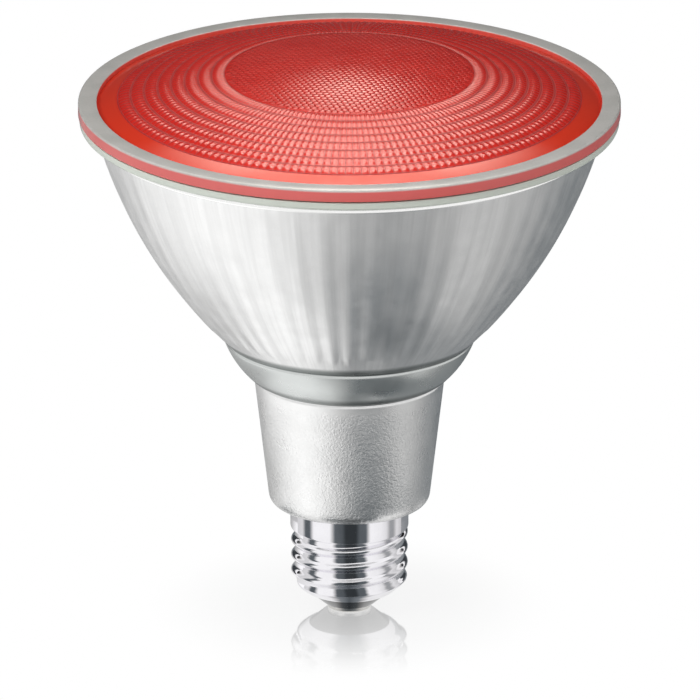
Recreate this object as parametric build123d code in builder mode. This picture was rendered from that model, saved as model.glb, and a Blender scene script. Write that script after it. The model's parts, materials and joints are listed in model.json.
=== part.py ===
from build123d import *
from math import cos, radians, sqrt
import os

os.makedirs("parts", exist_ok=True)

# Reflector lamp with a red prismatic lens, a pressed-glass bowl and a medium screw cap.
# Millimetres, +Z from the cap to the lens. The origin is on the axis, at the bottom of the contact.

# General fits
glue_gap = 0.3
close_gap = 0.1
slide_gap = 0.05

# Front lens
lamp_diameter = 121.0
rim_height = 120.0
rim_width = 4.2
rim_recess = 1.0
lens_edge = 2.7
lens_wall = 2.6
dome_height = 8.7
plain_band = 4.5
ring_count = 8
ring_pitch = 3.0
ring_relief = 0.35
collar_depth = 3.0
collar_wall = 1.5
rim_softening = 0.4

# Seal between the lens and the glass flange
seal_thickness = 0.4
seal_inset = 0.9
seal_width = 4.2

# Glass body: flange, bead, bowl, shoulder, neck and spigot
glass_wall = 3.0
flange_inset = 0.3
flange_thickness = 1.7
bead_setback = 3.0
bead_height = 2.0
bead_softening = 0.6
bowl_setback = 4.1
bowl_foot_radius = 28.4
bowl_sagitta = 3.6
groove_depth = 0.7
groove_width = 1.1
shoulder_length = 8.4
shoulder_foot_radius = 22.2
shoulder_sagitta = 0.6
neck_length = 29.4
neck_top_radius = 21.3
neck_bottom_radius = 17.85
neck_bottom_height = 25.2
neck_wall = 2.4
neck_floor = 3.0
neck_rounding = 2.3
seat_rise = 1.8
seat_step = 2.45
spigot_bore = 9.6
spigot_wall = 2.6
spigot_length = 5.2
mouth_clearance = 0.2

# Screw cap: rolled shell with its thread, black insulator and centre contact
sheet = 0.35
skirt_radius = 13.25
skirt_length = 5.9
lip_radius = 13.9
lip_drop = 0.7
thread_pitch = 25.4 / 7
crest_radius = 13.1
root_radius = 12.05
ridge_base = 2.7
ridge_crest = 1.2
crest_arc_rise = 0.3
first_crest_height = 3.35
shell_end_radius = 9.0
shell_end_height = 3.9
roll_start_height = 8.0
contact_radius = 4.9
contact_thickness = 1.1
contact_softening = 0.35
stem_radius = 2.2
stem_collar_radius = 3.1
stem_collar_height = 0.5
lead_bore = 0.9
insulator_foot_radius = 5.7
insulator_top_height = 9.4
insulator_rim = 1.5
insulator_dish = 2.4
insulator_dish_radius = 3.6

# Heat spreader, thermal pad and light board
spreader_sheet = 1.2
spreader_floor = 1.6
spreader_drop = 15.2
pad_thickness = 0.4
board_radius = 22.0
board_thickness = 1.6
pad_inset = 0.4
package_side = 3.0
package_height = 0.8
package_window = 1.1
package_window_depth = 0.2
package_counts = (1, 6, 12)
package_ring_pitch = 6.0
screw_circle_radius = 17.5
screw_count = 3
screw_first_angle = 30.0
screw_radius = 1.5
screw_length = 7.0
screw_head_radius = 2.8
screw_head_height = 2.0
screw_socket = 1.3
screw_socket_depth = 1.1
boss_radius = 3.2
boss_height = 5.0
plug_width = 6.0
plug_depth = 4.4
plug_height = 4.0
slot_depth = 1.6
cable_hole = 1.8

# Driver housing and its board
housing_wall = 1.5
housing_floor = 1.5
housing_lift = 0.5
housing_flange = 2.0
housing_flange_gap = 0.6
housing_hole = 3.2
rail_depth = 1.6
rail_thickness = 1.2
rail_height = 20.0
driver_thickness = 1.6
driver_offset = 4.0
driver_drop = 4.0

# Driver components: sizes across, deep and high, and places across the board and up from its foot
component_softening = 0.4
film_size = (7.5, 5.5, 9.5)
film_across = -7.0
varistor_radius = 4.0
varistor_thickness = 3.0
varistor_across = 7.4
core_width = 13.8
core_height = 13.0
core_depth = 5.0
core_yoke = 2.5
core_leg = 2.0
core_side = 2.0
coil_standoff = 6.0
bobbin_wall = 0.5
winding_radius = 4.4
bobbin_flange_radius = 4.6
bobbin_foot = (8.0, 1.2)
smoothing_radius = 4.0
smoothing_length = 14.0
output_radius = 4.5
output_length = 12.0
output_rise = 13.8
can_crimp = 0.4
can_crimp_place = 2.2
rectifier_size = (4.8, 2.5, 6.4)
rectifier_place = (-8.0, 6.8)
transistor_size = (6.4, 2.3, 6.0)
transistor_tab = (5.2, 0.5, 1.6)
transistor_place = (8.3, 14.8)
chip_size = (4.0, 1.5, 5.0)
chip_pin_count = 4
chip_pin = (1.0, 0.25, 0.4)
chip_place = (-8.3, 22.8)
choke_radius = 3.6
choke_spool = 1.6
choke_length = 5.0
choke_flange = 0.9
choke_winding_inset = 0.5
choke_place = (8.3, 24.8)
resistor_radius = 1.6
resistor_length = 7.0
resistor_waist = 0.25
resistor_cap = 1.4
resistor_place = (8.0, 5.8)

# Leads: radii, bends and the places that they pass
mains_lead_radius = 0.6
light_lead_radius = 0.5
lead_bend = 1.6
mains_lead_spread = 1.5
mains_lead_hole = (1.3, 0.9)
mains_joint_rise = 6.8
neutral_turn_height = 21.0
neutral_wall_height = 16.5
neutral_end_height = 12.5
live_turn_height = 16.0
live_centre_height = 11.0
light_lead_spread = 3.0
light_lead_plug = 0.8
light_joint_drop = 8.0
light_turn_drop = 1.5
light_plug_drop = 2.6

# Sizes that follow from those above
lens_radius = lamp_diameter / 2
face_radius = lens_radius - rim_width
dome_sag = dome_height + rim_recess
dome_radius = (face_radius**2 + dome_sag**2) / (2 * dome_sag)
dome_centre = rim_height + dome_height - dome_radius
lens_foot = rim_height - lens_edge
flange_top = lens_foot - seal_thickness
flange_radius = lens_radius - flange_inset
flange_foot = flange_top - flange_thickness
bead_radius = lens_radius - bead_setback
bowl_mouth_radius = lens_radius - bowl_setback
bowl_mouth_height = flange_foot - bead_height
neck_top_height = neck_bottom_height + neck_length
shoulder_foot_height = neck_top_height + groove_width
bowl_foot_height = shoulder_foot_height + shoulder_length + groove_width
seat_height = bowl_foot_height + seat_rise
spigot_radius = spigot_bore + spigot_wall
spigot_foot = neck_bottom_height - spigot_length
neck_floor_top = neck_bottom_height + neck_floor
skirt_top = neck_bottom_height - close_gap
skirt_foot = neck_bottom_height - skirt_length
spreader_base = seat_height + housing_flange
spreader_floor_top = spreader_base + spreader_floor
spreader_top_height = bowl_mouth_height - spreader_drop
board_base = spreader_floor_top + pad_thickness
board_top = board_base + board_thickness
housing_base = neck_floor_top + housing_lift
housing_floor_top = housing_base + housing_floor
board_front = driver_offset - driver_thickness / 2
board_back = driver_offset + driver_thickness / 2
driver_foot = housing_floor_top
driver_top = spreader_base - driver_drop
stack_height = film_size[2] + core_height + 2 * smoothing_radius
stack_gap = (driver_top - driver_foot - stack_height) / 4
film_height = driver_foot + stack_gap + film_size[2] / 2
core_centre_height = film_height + film_size[2] / 2 + stack_gap + core_height / 2
smoothing_height = driver_top - stack_gap - smoothing_radius
mains_joint_height = driver_foot + mains_joint_rise
light_joint_height = driver_top - light_joint_drop
light_turn_height = driver_top - light_turn_drop
light_plug_height = spreader_base - light_plug_drop
plug_place = screw_circle_radius


def dome_point(radius, lift=0.0):
    """Point of the lens dome at this radius, moved outward from the dome by lift."""
    reach = sqrt(dome_radius**2 - radius**2)
    share = lift / dome_radius
    return radius * (1 + share), dome_centre + reach * (1 + share)


def arc_centre(foot, mouth, sagitta):
    """Centre and radius of the outward arc from foot to mouth, both as (radius, height)."""
    across, rise = mouth[0] - foot[0], mouth[1] - foot[1]
    chord = sqrt(across**2 + rise**2)
    radius = chord**2 / (8 * sagitta) + sagitta / 2
    back = (radius - sagitta) / chord
    middle = (foot[0] + mouth[0]) / 2, (foot[1] + mouth[1]) / 2
    return (middle[0] - rise * back, middle[1] + across * back), radius


bowl_foot = (bowl_foot_radius, bowl_foot_height)
bowl_mouth = (bowl_mouth_radius, bowl_mouth_height)
bowl_centre, bowl_arc_radius = arc_centre(bowl_foot, bowl_mouth, bowl_sagitta)


def bowl_at(height, inset=0.0):
    """Radius of the bowl's wall at this height, on a surface inset from the outer one."""
    reach = (bowl_arc_radius - inset) ** 2 - (height - bowl_centre[1]) ** 2
    return bowl_centre[0] + sqrt(reach)


def bowl_arc(low, high, inset):
    """Arc parallel to the bowl's outer wall between two heights, drawn in the active line."""
    heights = (low, (low + high) / 2, high)
    ThreePointArc(*[(bowl_at(height, inset), height) for height in heights])


def neck_at(height, inset=0.0):
    """Radius of the tapered neck at this height, on a surface inset from the outer one."""
    taper = (neck_top_radius - neck_bottom_radius) / neck_length
    return neck_bottom_radius + taper * (height - neck_bottom_height) - inset


def turned_ring(inner, outer, bottom, top):
    """Rectangular section of a turned ring, drawn in the active sketch."""
    with Locations(((inner + outer) / 2, (bottom + top) / 2)):
        Rectangle(outer - inner, top - bottom)


def finish(builder, label):
    """Labels a finished piece and writes it."""
    builder.part.label = label
    export_step(builder.part, f"parts/{label}.step")


# Front lens: domed face with concentric cushion rings, a raised flat rim and a locating collar
mouth_radius = bowl_at(bowl_mouth_height, glass_wall) + mouth_clearance
mouth_foot = bowl_centre[1] - sqrt(
    (bowl_arc_radius - glass_wall) ** 2 - (mouth_radius - bowl_centre[0]) ** 2
)
collar_radius = mouth_radius - glue_gap
collar_bore = collar_radius - collar_wall
ring_edge = face_radius - plain_band
field_radius = ring_edge - ring_count * ring_pitch
under_radius = dome_radius - lens_wall


def under_point(radius):
    """Point of the lens's plain underside at this radius."""
    return radius, dome_centre + sqrt(under_radius**2 - radius**2)


with BuildPart() as front_lens:
    with BuildSketch(Plane.XZ):
        with BuildLine():
            ThreePointArc(dome_point(0), dome_point(field_radius / 2), dome_point(field_radius))
            for ring in range(ring_count):
                start = field_radius + ring * ring_pitch
                middle = dome_point(start + ring_pitch / 2, ring_relief)
                ThreePointArc(dome_point(start), middle, dome_point(start + ring_pitch))
            face_edge = dome_point(face_radius)
            ThreePointArc(dome_point(ring_edge), dome_point(face_radius - plain_band / 2), face_edge)
            Polyline(
                face_edge,
                (face_radius, rim_height),
                (lens_radius, rim_height),
                (lens_radius, lens_foot),
                (collar_radius, lens_foot),
                (collar_radius, lens_foot - collar_depth),
                (collar_bore, lens_foot - collar_depth),
                under_point(collar_bore),
            )
            ThreePointArc(under_point(collar_bore), under_point(collar_bore / 2), under_point(0))
            Line(under_point(0), dome_point(0))
        make_face()
    revolve(axis=Axis.Z)
    outer_edges = front_lens.edges().filter_by(GeomType.CIRCLE)
    outer_edges = outer_edges.filter_by(lambda edge: abs(edge.radius - lens_radius) < rim_softening)
    fillet(outer_edges, radius=rim_softening)
finish(front_lens, "front_lens")

# Seal: thin silicone ring that joins the lens to the glass flange
with BuildPart() as lens_seal:
    with BuildSketch(Plane.XZ):
        seal_edge = flange_radius - seal_inset
        turned_ring(seal_edge - seal_width, seal_edge, flange_top, lens_foot)
    revolve(axis=Axis.Z)
finish(lens_seal, "lens_seal")

# Glass body: flange, bead, bowl, shoulder, tapered neck and the spigot that enters the cap
shoulder_top = (bowl_foot_radius - groove_depth / 2, bowl_foot_height - groove_width)
shoulder_foot = (shoulder_foot_radius, shoulder_foot_height)
inner_neck_foot = (neck_at(neck_floor_top, neck_wall), neck_floor_top)
seat_radius = neck_at(seat_height, neck_wall) + seat_step
with BuildPart() as glass_body:
    with BuildSketch(Plane.XZ):
        with BuildLine():
            bowl_arc(bowl_foot_height, bowl_mouth_height, 0)
            Polyline(
                bowl_foot,
                (bowl_foot_radius - groove_depth, bowl_foot_height - groove_width / 2),
                shoulder_top,
            )
            SagittaArc(shoulder_top, shoulder_foot, shoulder_sagitta)
            Polyline(
                shoulder_foot,
                (neck_top_radius - groove_depth / 2, shoulder_foot_height - groove_width / 2),
                (neck_top_radius, neck_top_height),
                (neck_bottom_radius, neck_bottom_height),
                (spigot_radius, neck_bottom_height),
                (spigot_radius, spigot_foot),
                (spigot_bore, spigot_foot),
                (spigot_bore, neck_floor_top),
                inner_neck_foot,
                (neck_at(neck_top_height, neck_wall), neck_top_height),
                (seat_radius, seat_height),
                (bowl_at(seat_height, glass_wall), seat_height),
            )
            bowl_arc(seat_height, mouth_foot, glass_wall)
            Polyline(
                (mouth_radius, mouth_foot),
                (mouth_radius, flange_top),
                (flange_radius, flange_top),
                (flange_radius, flange_foot),
                (bead_radius, flange_foot),
                (bead_radius, bowl_mouth_height + bead_softening),
                (bead_radius - bead_softening, bowl_mouth_height),
                bowl_mouth,
            )
        make_face()
    revolve(axis=Axis.Z)
    rings = glass_body.edges().filter_by(GeomType.CIRCLE)
    neck_edge = rings.filter_by(
        lambda edge: abs(edge.radius - neck_bottom_radius) < close_gap
        and abs(edge.center().Z - neck_bottom_height) < close_gap
    )
    fillet(neck_edge, radius=neck_rounding)
    flange_edges = glass_body.edges().filter_by(GeomType.CIRCLE)
    flange_edges = flange_edges.filter_by(lambda edge: abs(edge.radius - flange_radius) < close_gap)
    fillet(flange_edges, radius=rim_softening)
finish(glass_body, "glass_body")

# Cap shell: rolled sheet with skirt, flared lip, right-hand thread and a curled lower end


def roll_arc(inset):
    """Centre of the curled end and its radius on a surface inset from the root."""
    drop = roll_start_height - shell_end_height
    inward = root_radius - shell_end_radius
    radius = (inward**2 + drop**2) / (2 * inward)
    return (root_radius - radius, roll_start_height), radius - inset


roll_centre, roll_radius = roll_arc(0)
end_run = (shell_end_radius - roll_centre[0]) / roll_radius
end_drop = (shell_end_height - roll_centre[1]) / roll_radius
half_run = cos(radians(45))


def rolled_end(inset):
    """Arc of the curled end, from the wall to the open end, drawn in the active line."""
    radius = roll_radius - inset
    wall = (roll_centre[0] + radius, roll_centre[1])
    middle = (roll_centre[0] + radius * half_run, roll_centre[1] - radius * half_run)
    end = (roll_centre[0] + radius * end_run, roll_centre[1] + radius * end_drop)
    ThreePointArc(wall, middle, end)
    return end


def shell_wall(inset):
    """Line of the shell's wall from its end to the axis at its top, drawn in the active line."""
    end = rolled_end(inset)
    Polyline(
        (root_radius - inset, roll_start_height),
        (root_radius - inset, skirt_foot - sheet + inset),
        (skirt_radius - inset, skirt_foot + inset),
        (skirt_radius - inset, skirt_top - lip_drop),
        (lip_radius - inset, skirt_top),
        (0, skirt_top),
        (0, shell_end_height),
    )
    return end


thread_turns = (skirt_foot + ridge_base - first_crest_height) / thread_pitch
crest_roll = crest_radius - root_radius
with BuildPart() as thread_limit:
    with BuildSketch(Plane.XZ):
        with BuildLine():
            ThreePointArc(
                (crest_radius, roll_start_height),
                (
                    roll_centre[0] + (roll_radius + crest_roll) * half_run,
                    roll_centre[1] - (roll_radius + crest_roll / 2) * half_run,
                ),
                (shell_end_radius, shell_end_height),
            )
            Polyline(
                (shell_end_radius, shell_end_height),
                (0, shell_end_height),
                (0, skirt_top - lip_drop),
                (crest_radius, skirt_top - lip_drop),
                (crest_radius, roll_start_height),
            )
        make_face()
    revolve(axis=Axis.Z)

with BuildPart() as thread_ridge:
    with BuildLine(Plane.XY.offset(first_crest_height)):
        Helix(thread_pitch, thread_turns * thread_pitch, root_radius)
    with BuildSketch(Plane.XZ):
        with BuildLine():
            flank_radius = crest_radius - crest_arc_rise
            low, high = first_crest_height - ridge_base / 2, first_crest_height + ridge_base / 2
            low_flank = (flank_radius, first_crest_height - ridge_crest / 2)
            high_flank = (flank_radius, first_crest_height + ridge_crest / 2)
            ThreePointArc(low_flank, (crest_radius, first_crest_height), high_flank)
            Polyline(
                high_flank,
                (root_radius - sheet / 2, high),
                (root_radius - sheet / 2, low),
                low_flank,
            )
        make_face()
    sweep(is_frenet=True)
    add(thread_limit.part, mode=Mode.INTERSECT)

with BuildPart() as cap_shell:
    with BuildSketch(Plane.XZ):
        with BuildLine():
            Line(shell_wall(0), (0, shell_end_height))
        make_face()
    revolve(axis=Axis.Z)
    add(thread_ridge.part)
    with BuildSketch(Plane.XZ):
        with BuildLine():
            shell_mouth = (shell_end_radius, shell_end_height)
            Polyline(shell_wall(sheet), shell_mouth, (0, shell_end_height))
        make_face()
    revolve(axis=Axis.Z, mode=Mode.SUBTRACT)
finish(cap_shell, "cap_shell")

# Cement ring: fixes the cap's skirt to the glass spigot
with BuildPart() as cap_cement:
    with BuildSketch(Plane.XZ):
        turned_ring(spigot_radius, skirt_radius - sheet, spigot_foot, skirt_top - lip_drop)
    revolve(axis=Axis.Z)
finish(cap_cement, "cap_cement")

# Centre contact: button, stem and the flared collar that rivets it to the insulator
dish_height = insulator_top_height - insulator_dish
collar_top = dish_height + stem_collar_height
with BuildPart() as centre_contact:
    with BuildSketch(Plane.XZ):
        turned_ring(0, contact_radius, 0, contact_thickness)
        turned_ring(0, stem_radius, contact_thickness, dish_height)
        turned_ring(0, stem_collar_radius, dish_height, collar_top)
    revolve(axis=Axis.Z)
    fillet(centre_contact.edges().group_by(Axis.Z)[0], radius=contact_softening)
    with BuildSketch(Plane.XY.offset(collar_top)):
        Circle(lead_bore)
    extrude(amount=contact_thickness - collar_top, mode=Mode.SUBTRACT)
finish(centre_contact, "centre_contact")

# Cap insulator: black glass cone, locked in the shell's curled end
insulator_gap = sheet + slide_gap
with BuildPart() as cap_insulator:
    with BuildSketch(Plane.XZ):
        with BuildLine():
            roll_end = rolled_end(insulator_gap)
            Polyline(
                roll_end,
                (roll_end[0], shell_end_height),
                (insulator_foot_radius, contact_thickness),
                (stem_radius + slide_gap, contact_thickness),
                (stem_radius + slide_gap, dish_height),
                (insulator_dish_radius, dish_height),
                (root_radius - insulator_gap - insulator_rim, insulator_top_height),
                (root_radius - insulator_gap, insulator_top_height),
                (root_radius - insulator_gap, roll_start_height),
            )
        make_face()
    revolve(axis=Axis.Z)
finish(cap_insulator, "cap_insulator")

# Holes that the screws and the light leads share through spreader, pad and board


def fastening_holes(mode=Mode.ADD):
    """Screw holes and the cable hole, drawn in the active sketch."""
    with PolarLocations(screw_circle_radius, screw_count, start_angle=screw_first_angle):
        Circle(screw_radius + close_gap, mode=mode)
    with Locations((0, plug_place)):
        Circle(cable_hole, mode=mode)


# Heat spreader: drawn aluminium dish that follows the inside of the bowl
dish_inset = glass_wall + glue_gap
with BuildPart() as heat_spreader:
    with BuildSketch(Plane.XZ):
        with BuildLine():
            bowl_arc(spreader_base, spreader_top_height, dish_inset)
            bowl_arc(spreader_floor_top, spreader_top_height, dish_inset + spreader_sheet)
            Line(
                (bowl_at(spreader_top_height, dish_inset), spreader_top_height),
                (bowl_at(spreader_top_height, dish_inset + spreader_sheet), spreader_top_height),
            )
            Polyline(
                (bowl_at(spreader_floor_top, dish_inset + spreader_sheet), spreader_floor_top),
                (0, spreader_floor_top),
                (0, spreader_base),
                (bowl_at(spreader_base, dish_inset), spreader_base),
            )
        make_face()
    revolve(axis=Axis.Z)
    with BuildSketch(Plane.XY.offset(spreader_base)):
        fastening_holes()
    extrude(amount=spreader_floor, mode=Mode.SUBTRACT)
finish(heat_spreader, "heat_spreader")

# Thermal pad and light board
with BuildPart() as thermal_pad:
    with BuildSketch(Plane.XY.offset(spreader_floor_top)):
        Circle(board_radius - pad_inset)
        fastening_holes(Mode.SUBTRACT)
    extrude(amount=pad_thickness)
finish(thermal_pad, "thermal_pad")

with BuildPart() as led_board:
    with BuildSketch(Plane.XY.offset(board_base)):
        Circle(board_radius)
        fastening_holes(Mode.SUBTRACT)
    extrude(amount=board_thickness)
finish(led_board, "led_board")

# Light packages: square bodies with a round window, in rings on the board
with BuildPart() as led_packages:
    with BuildSketch(Plane.XY.offset(board_top)):
        for ring, count in enumerate(package_counts):
            with PolarLocations(ring * package_ring_pitch, count):
                Rectangle(package_side, package_side)
    extrude(amount=package_height)
    with BuildSketch(Plane.XY.offset(board_top + package_height)):
        for ring, count in enumerate(package_counts):
            with PolarLocations(ring * package_ring_pitch, count):
                Circle(package_window)
    extrude(amount=-package_window_depth, mode=Mode.SUBTRACT)
finish(led_packages, "led_packages")

# Board screws: pan heads with a hexagon socket
with BuildPart() as board_screws:
    with BuildSketch(Plane.XY.offset(board_top)):
        with PolarLocations(screw_circle_radius, screw_count, start_angle=screw_first_angle):
            Circle(screw_head_radius)
    extrude(amount=screw_head_height)
    fillet(board_screws.edges().group_by(Axis.Z)[-1], radius=screw_head_height / 3)
    with BuildSketch(Plane.XY.offset(board_top + screw_head_height)):
        with PolarLocations(screw_circle_radius, screw_count, start_angle=screw_first_angle):
            RegularPolygon(screw_socket, side_count=6)
    extrude(amount=-screw_socket_depth, mode=Mode.SUBTRACT)
    with BuildSketch(Plane.XY.offset(board_top)):
        with PolarLocations(screw_circle_radius, screw_count, start_angle=screw_first_angle):
            Circle(screw_radius)
    extrude(amount=-screw_length)
finish(board_screws, "board_screws")

# Board connector: two-way socket over the cable hole, wired from below
with BuildPart() as board_connector:
    with BuildSketch(Plane.XY.offset(board_top)):
        with Locations((0, plug_place)):
            Rectangle(plug_width, plug_depth)
    extrude(amount=plug_height)
    chamfer(board_connector.edges().group_by(Axis.Z)[-1], length=slot_depth / 4)
    with BuildSketch(Plane.XY.offset(board_top + plug_height)):
        with Locations((-light_lead_plug, plug_place), (light_lead_plug, plug_place)):
            Circle(light_lead_radius)
    extrude(amount=-slot_depth, mode=Mode.SUBTRACT)
finish(board_connector, "board_connector")

# Driver housing: tapered insulating cup with a seat flange, screw bosses and board rails
housing_inset = neck_wall + glue_gap
cavity_inset = housing_inset + housing_wall
housing_flange_radius = bowl_at(seat_height, glass_wall) - housing_flange_gap
with BuildPart() as housing_cavity:
    with BuildSketch(Plane.XZ):
        with BuildLine():
            Polyline(
                (0, housing_floor_top),
                (neck_at(housing_floor_top, cavity_inset), housing_floor_top),
                (neck_at(spreader_base, cavity_inset), spreader_base),
                (0, spreader_base),
                close=True,
            )
        make_face()
    revolve(axis=Axis.Z)


def board_half_width(height):
    """Half the driver board's width at this height, so that its edges follow the housing."""
    return sqrt(neck_at(height, cavity_inset) ** 2 - board_back**2) - close_gap


rail_start = board_half_width(housing_floor_top) - rail_depth
rail_run = neck_at(spreader_base) - rail_start
rail_shift = driver_thickness / 2 + close_gap + rail_thickness / 2
with BuildPart() as board_rails:
    with BuildSketch(Plane.XY.offset(housing_floor_top)):
        for side in (-1, 1):
            for shift in (-rail_shift, rail_shift):
                with Locations((side * (rail_start + rail_run / 2), driver_offset + shift)):
                    Rectangle(rail_run, rail_thickness)
    extrude(amount=rail_height)
    add(housing_cavity.part, mode=Mode.INTERSECT)

with BuildPart() as driver_housing:
    with BuildSketch(Plane.XZ):
        with BuildLine():
            Polyline(
                (0, housing_base),
                (neck_at(housing_base, housing_inset), housing_base),
                (neck_at(seat_height, housing_inset), seat_height),
                (housing_flange_radius, seat_height),
                (housing_flange_radius, spreader_base),
                (0, spreader_base),
                close=True,
            )
        make_face()
    revolve(axis=Axis.Z)
    add(housing_cavity.part, mode=Mode.SUBTRACT)
    add(board_rails.part)
    with BuildSketch(Plane.XY.offset(spreader_base)):
        with PolarLocations(screw_circle_radius, screw_count, start_angle=screw_first_angle):
            Circle(boss_radius)
    extrude(amount=-housing_flange - boss_height)
    with BuildSketch(Plane.XY.offset(spreader_base)):
        with PolarLocations(screw_circle_radius, screw_count, start_angle=screw_first_angle):
            Circle(screw_radius + slide_gap)
    extrude(amount=-housing_flange - boss_height + housing_floor, mode=Mode.SUBTRACT)
    with BuildSketch(Plane.XY.offset(housing_base)):
        Circle(housing_hole)
    extrude(amount=housing_floor, mode=Mode.SUBTRACT)
finish(driver_housing, "driver_housing")

# Driver board: upright, with tapered edges that slide between the rails
with BuildPart() as driver_board:
    with BuildSketch(Plane.XZ.offset(-driver_offset)):
        with BuildLine():
            foot_half = board_half_width(housing_floor_top)
            top_half = board_half_width(driver_top)
            Polyline(
                (-foot_half, housing_floor_top),
                (foot_half, housing_floor_top),
                (top_half, driver_top),
                (-top_half, driver_top),
                close=True,
            )
        make_face()
    extrude(amount=driver_thickness / 2, both=True)
finish(driver_board, "driver_board")

# Component faces of the driver board, each seen from its own side
front_face = Plane(origin=(0, board_front, 0), x_dir=(1, 0, 0), z_dir=(0, -1, 0))
back_face = Plane(origin=(0, board_back, 0), x_dir=(-1, 0, 0), z_dir=(0, 1, 0))


def block(size, across, height):
    """Face of a block component on the board, drawn in the active sketch."""
    with Locations((across, height)):
        Rectangle(size[0], size[2])


def raised(place):
    """Place across the board and up from its foot, as across and height above the origin."""
    return place[0], driver_foot + place[1]


def can_outline(length, radius, crimp, crimp_place):
    """Half outline of a turned can with a crimped groove, drawn in the active line."""
    Polyline(
        (-length / 2, 0),
        (-length / 2, radius),
        (-length / 2 + crimp_place - crimp, radius),
        (-length / 2 + crimp_place, radius - crimp),
        (-length / 2 + crimp_place + crimp, radius),
        (length / 2, radius),
        (length / 2, 0),
        close=True,
    )


with BuildPart() as film_capacitor:
    with BuildSketch(front_face):
        block(film_size, film_across, film_height)
    extrude(amount=film_size[1])
    chamfer(film_capacitor.edges().filter_by(Axis.Y), length=component_softening)
finish(film_capacitor, "film_capacitor")

with BuildPart() as varistor:
    with BuildSketch(front_face):
        with Locations((varistor_across, film_height)):
            Circle(varistor_radius)
    extrude(amount=varistor_thickness)
    fillet(varistor.edges().group_by(Axis.Y)[0], radius=component_softening)
finish(varistor, "varistor")

# Transformer: ferrite frame with a round centre leg, a bobbin on two feet and its winding
coil_centre = board_front - coil_standoff
window_half = core_width / 2 - core_side
window_height = core_height - 2 * core_yoke
window_foot = core_centre_height - window_height / 2
with BuildPart() as transformer_core:
    with BuildSketch(Plane.XZ.offset(-coil_centre)):
        with Locations((0, core_centre_height)):
            Rectangle(core_width, core_height)
            Rectangle(2 * window_half, window_height, mode=Mode.SUBTRACT)
    extrude(amount=core_depth / 2, both=True)
    with BuildSketch(Plane.XY.offset(window_foot)):
        with Locations((0, coil_centre)):
            Circle(core_leg)
    extrude(amount=window_height)
finish(transformer_core, "transformer_core")

bobbin_bore = core_leg + close_gap
bobbin_tube = bobbin_bore + bobbin_wall
bobbin_height = window_height - 2 * close_gap
bobbin_base = window_foot + close_gap
foot_reach = coil_standoff - core_depth / 2 - close_gap
with BuildPart() as transformer_bobbin:
    with BuildSketch(Plane.XY.offset(bobbin_base)):
        with Locations((0, coil_centre)):
            Circle(bobbin_flange_radius)
    extrude(amount=bobbin_wall)
    with BuildSketch(Plane.XY.offset(bobbin_base)):
        with Locations((0, board_front - foot_reach / 2)):
            Rectangle(bobbin_foot[0], foot_reach)
    extrude(amount=bobbin_foot[1])
    with BuildSketch(Plane.XY.offset(bobbin_base)):
        with Locations((0, coil_centre)):
            Circle(bobbin_tube)
    extrude(amount=bobbin_height)
    with BuildSketch(Plane.XY.offset(bobbin_base + bobbin_height - bobbin_wall)):
        with Locations((0, coil_centre)):
            Circle(bobbin_flange_radius)
    extrude(amount=bobbin_wall)
    with BuildSketch(Plane.XY.offset(bobbin_base)):
        with Locations((0, coil_centre)):
            Circle(bobbin_bore)
    extrude(amount=bobbin_height, mode=Mode.SUBTRACT)
finish(transformer_bobbin, "transformer_bobbin")

winding_base = bobbin_base + bobbin_foot[1]
with BuildPart() as transformer_winding:
    with BuildSketch(Plane.XY.offset(winding_base)):
        with Locations((0, coil_centre)):
            Circle(winding_radius)
            Circle(bobbin_tube, mode=Mode.SUBTRACT)
    extrude(amount=bobbin_base + bobbin_height - bobbin_wall - winding_base)
finish(transformer_winding, "transformer_winding")

# Electrolytic cans: one lies along the top of the board's front, one stands at its back
smoothing_centre = (0, board_front - smoothing_radius, smoothing_height)
with BuildPart() as smoothing_capacitor:
    with BuildSketch(Plane(origin=smoothing_centre, x_dir=(1, 0, 0), z_dir=(0, -1, 0))):
        with BuildLine():
            can_outline(smoothing_length, smoothing_radius, can_crimp, can_crimp_place)
        make_face()
    revolve(axis=Axis(smoothing_centre, (1, 0, 0)))
finish(smoothing_capacitor, "smoothing_capacitor")

output_centre = (0, board_back + output_radius, driver_foot + output_rise)
with BuildPart() as output_capacitor:
    with BuildSketch(Plane(origin=output_centre, x_dir=(0, 0, 1), z_dir=(0, -1, 0))):
        with BuildLine():
            can_outline(output_length, output_radius, can_crimp, can_crimp_place)
        make_face()
    revolve(axis=Axis(output_centre, (0, 0, 1)))
finish(output_capacitor, "output_capacitor")

# Flat components at the back of the driver board
with BuildPart() as bridge_rectifier:
    with BuildSketch(back_face):
        block(rectifier_size, *raised(rectifier_place))
    extrude(amount=rectifier_size[1])
    chamfer(bridge_rectifier.edges().group_by(Axis.Y)[-1], length=component_softening)
finish(bridge_rectifier, "bridge_rectifier")

tab_rise = transistor_place[1] + (transistor_size[2] + transistor_tab[2]) / 2
with BuildPart() as switch_transistor:
    with BuildSketch(back_face):
        block(transistor_size, *raised(transistor_place))
    extrude(amount=transistor_size[1])
    chamfer(switch_transistor.edges().group_by(Axis.Y)[-1], length=component_softening)
    with BuildSketch(back_face):
        block(transistor_tab, *raised((transistor_place[0], tab_rise)))
    extrude(amount=transistor_tab[1])
finish(switch_transistor, "switch_transistor")

with BuildPart() as controller_chip:
    with BuildSketch(back_face):
        block(chip_size, *raised(chip_place))
    extrude(amount=chip_size[1])
    with BuildSketch(back_face):
        with Locations(raised(chip_place)):
            with GridLocations(0, chip_size[2] / chip_pin_count, 1, chip_pin_count):
                Rectangle(chip_size[0] + 2 * chip_pin[0], chip_pin[2])
    extrude(amount=chip_pin[1])
finish(controller_chip, "controller_chip")

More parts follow.
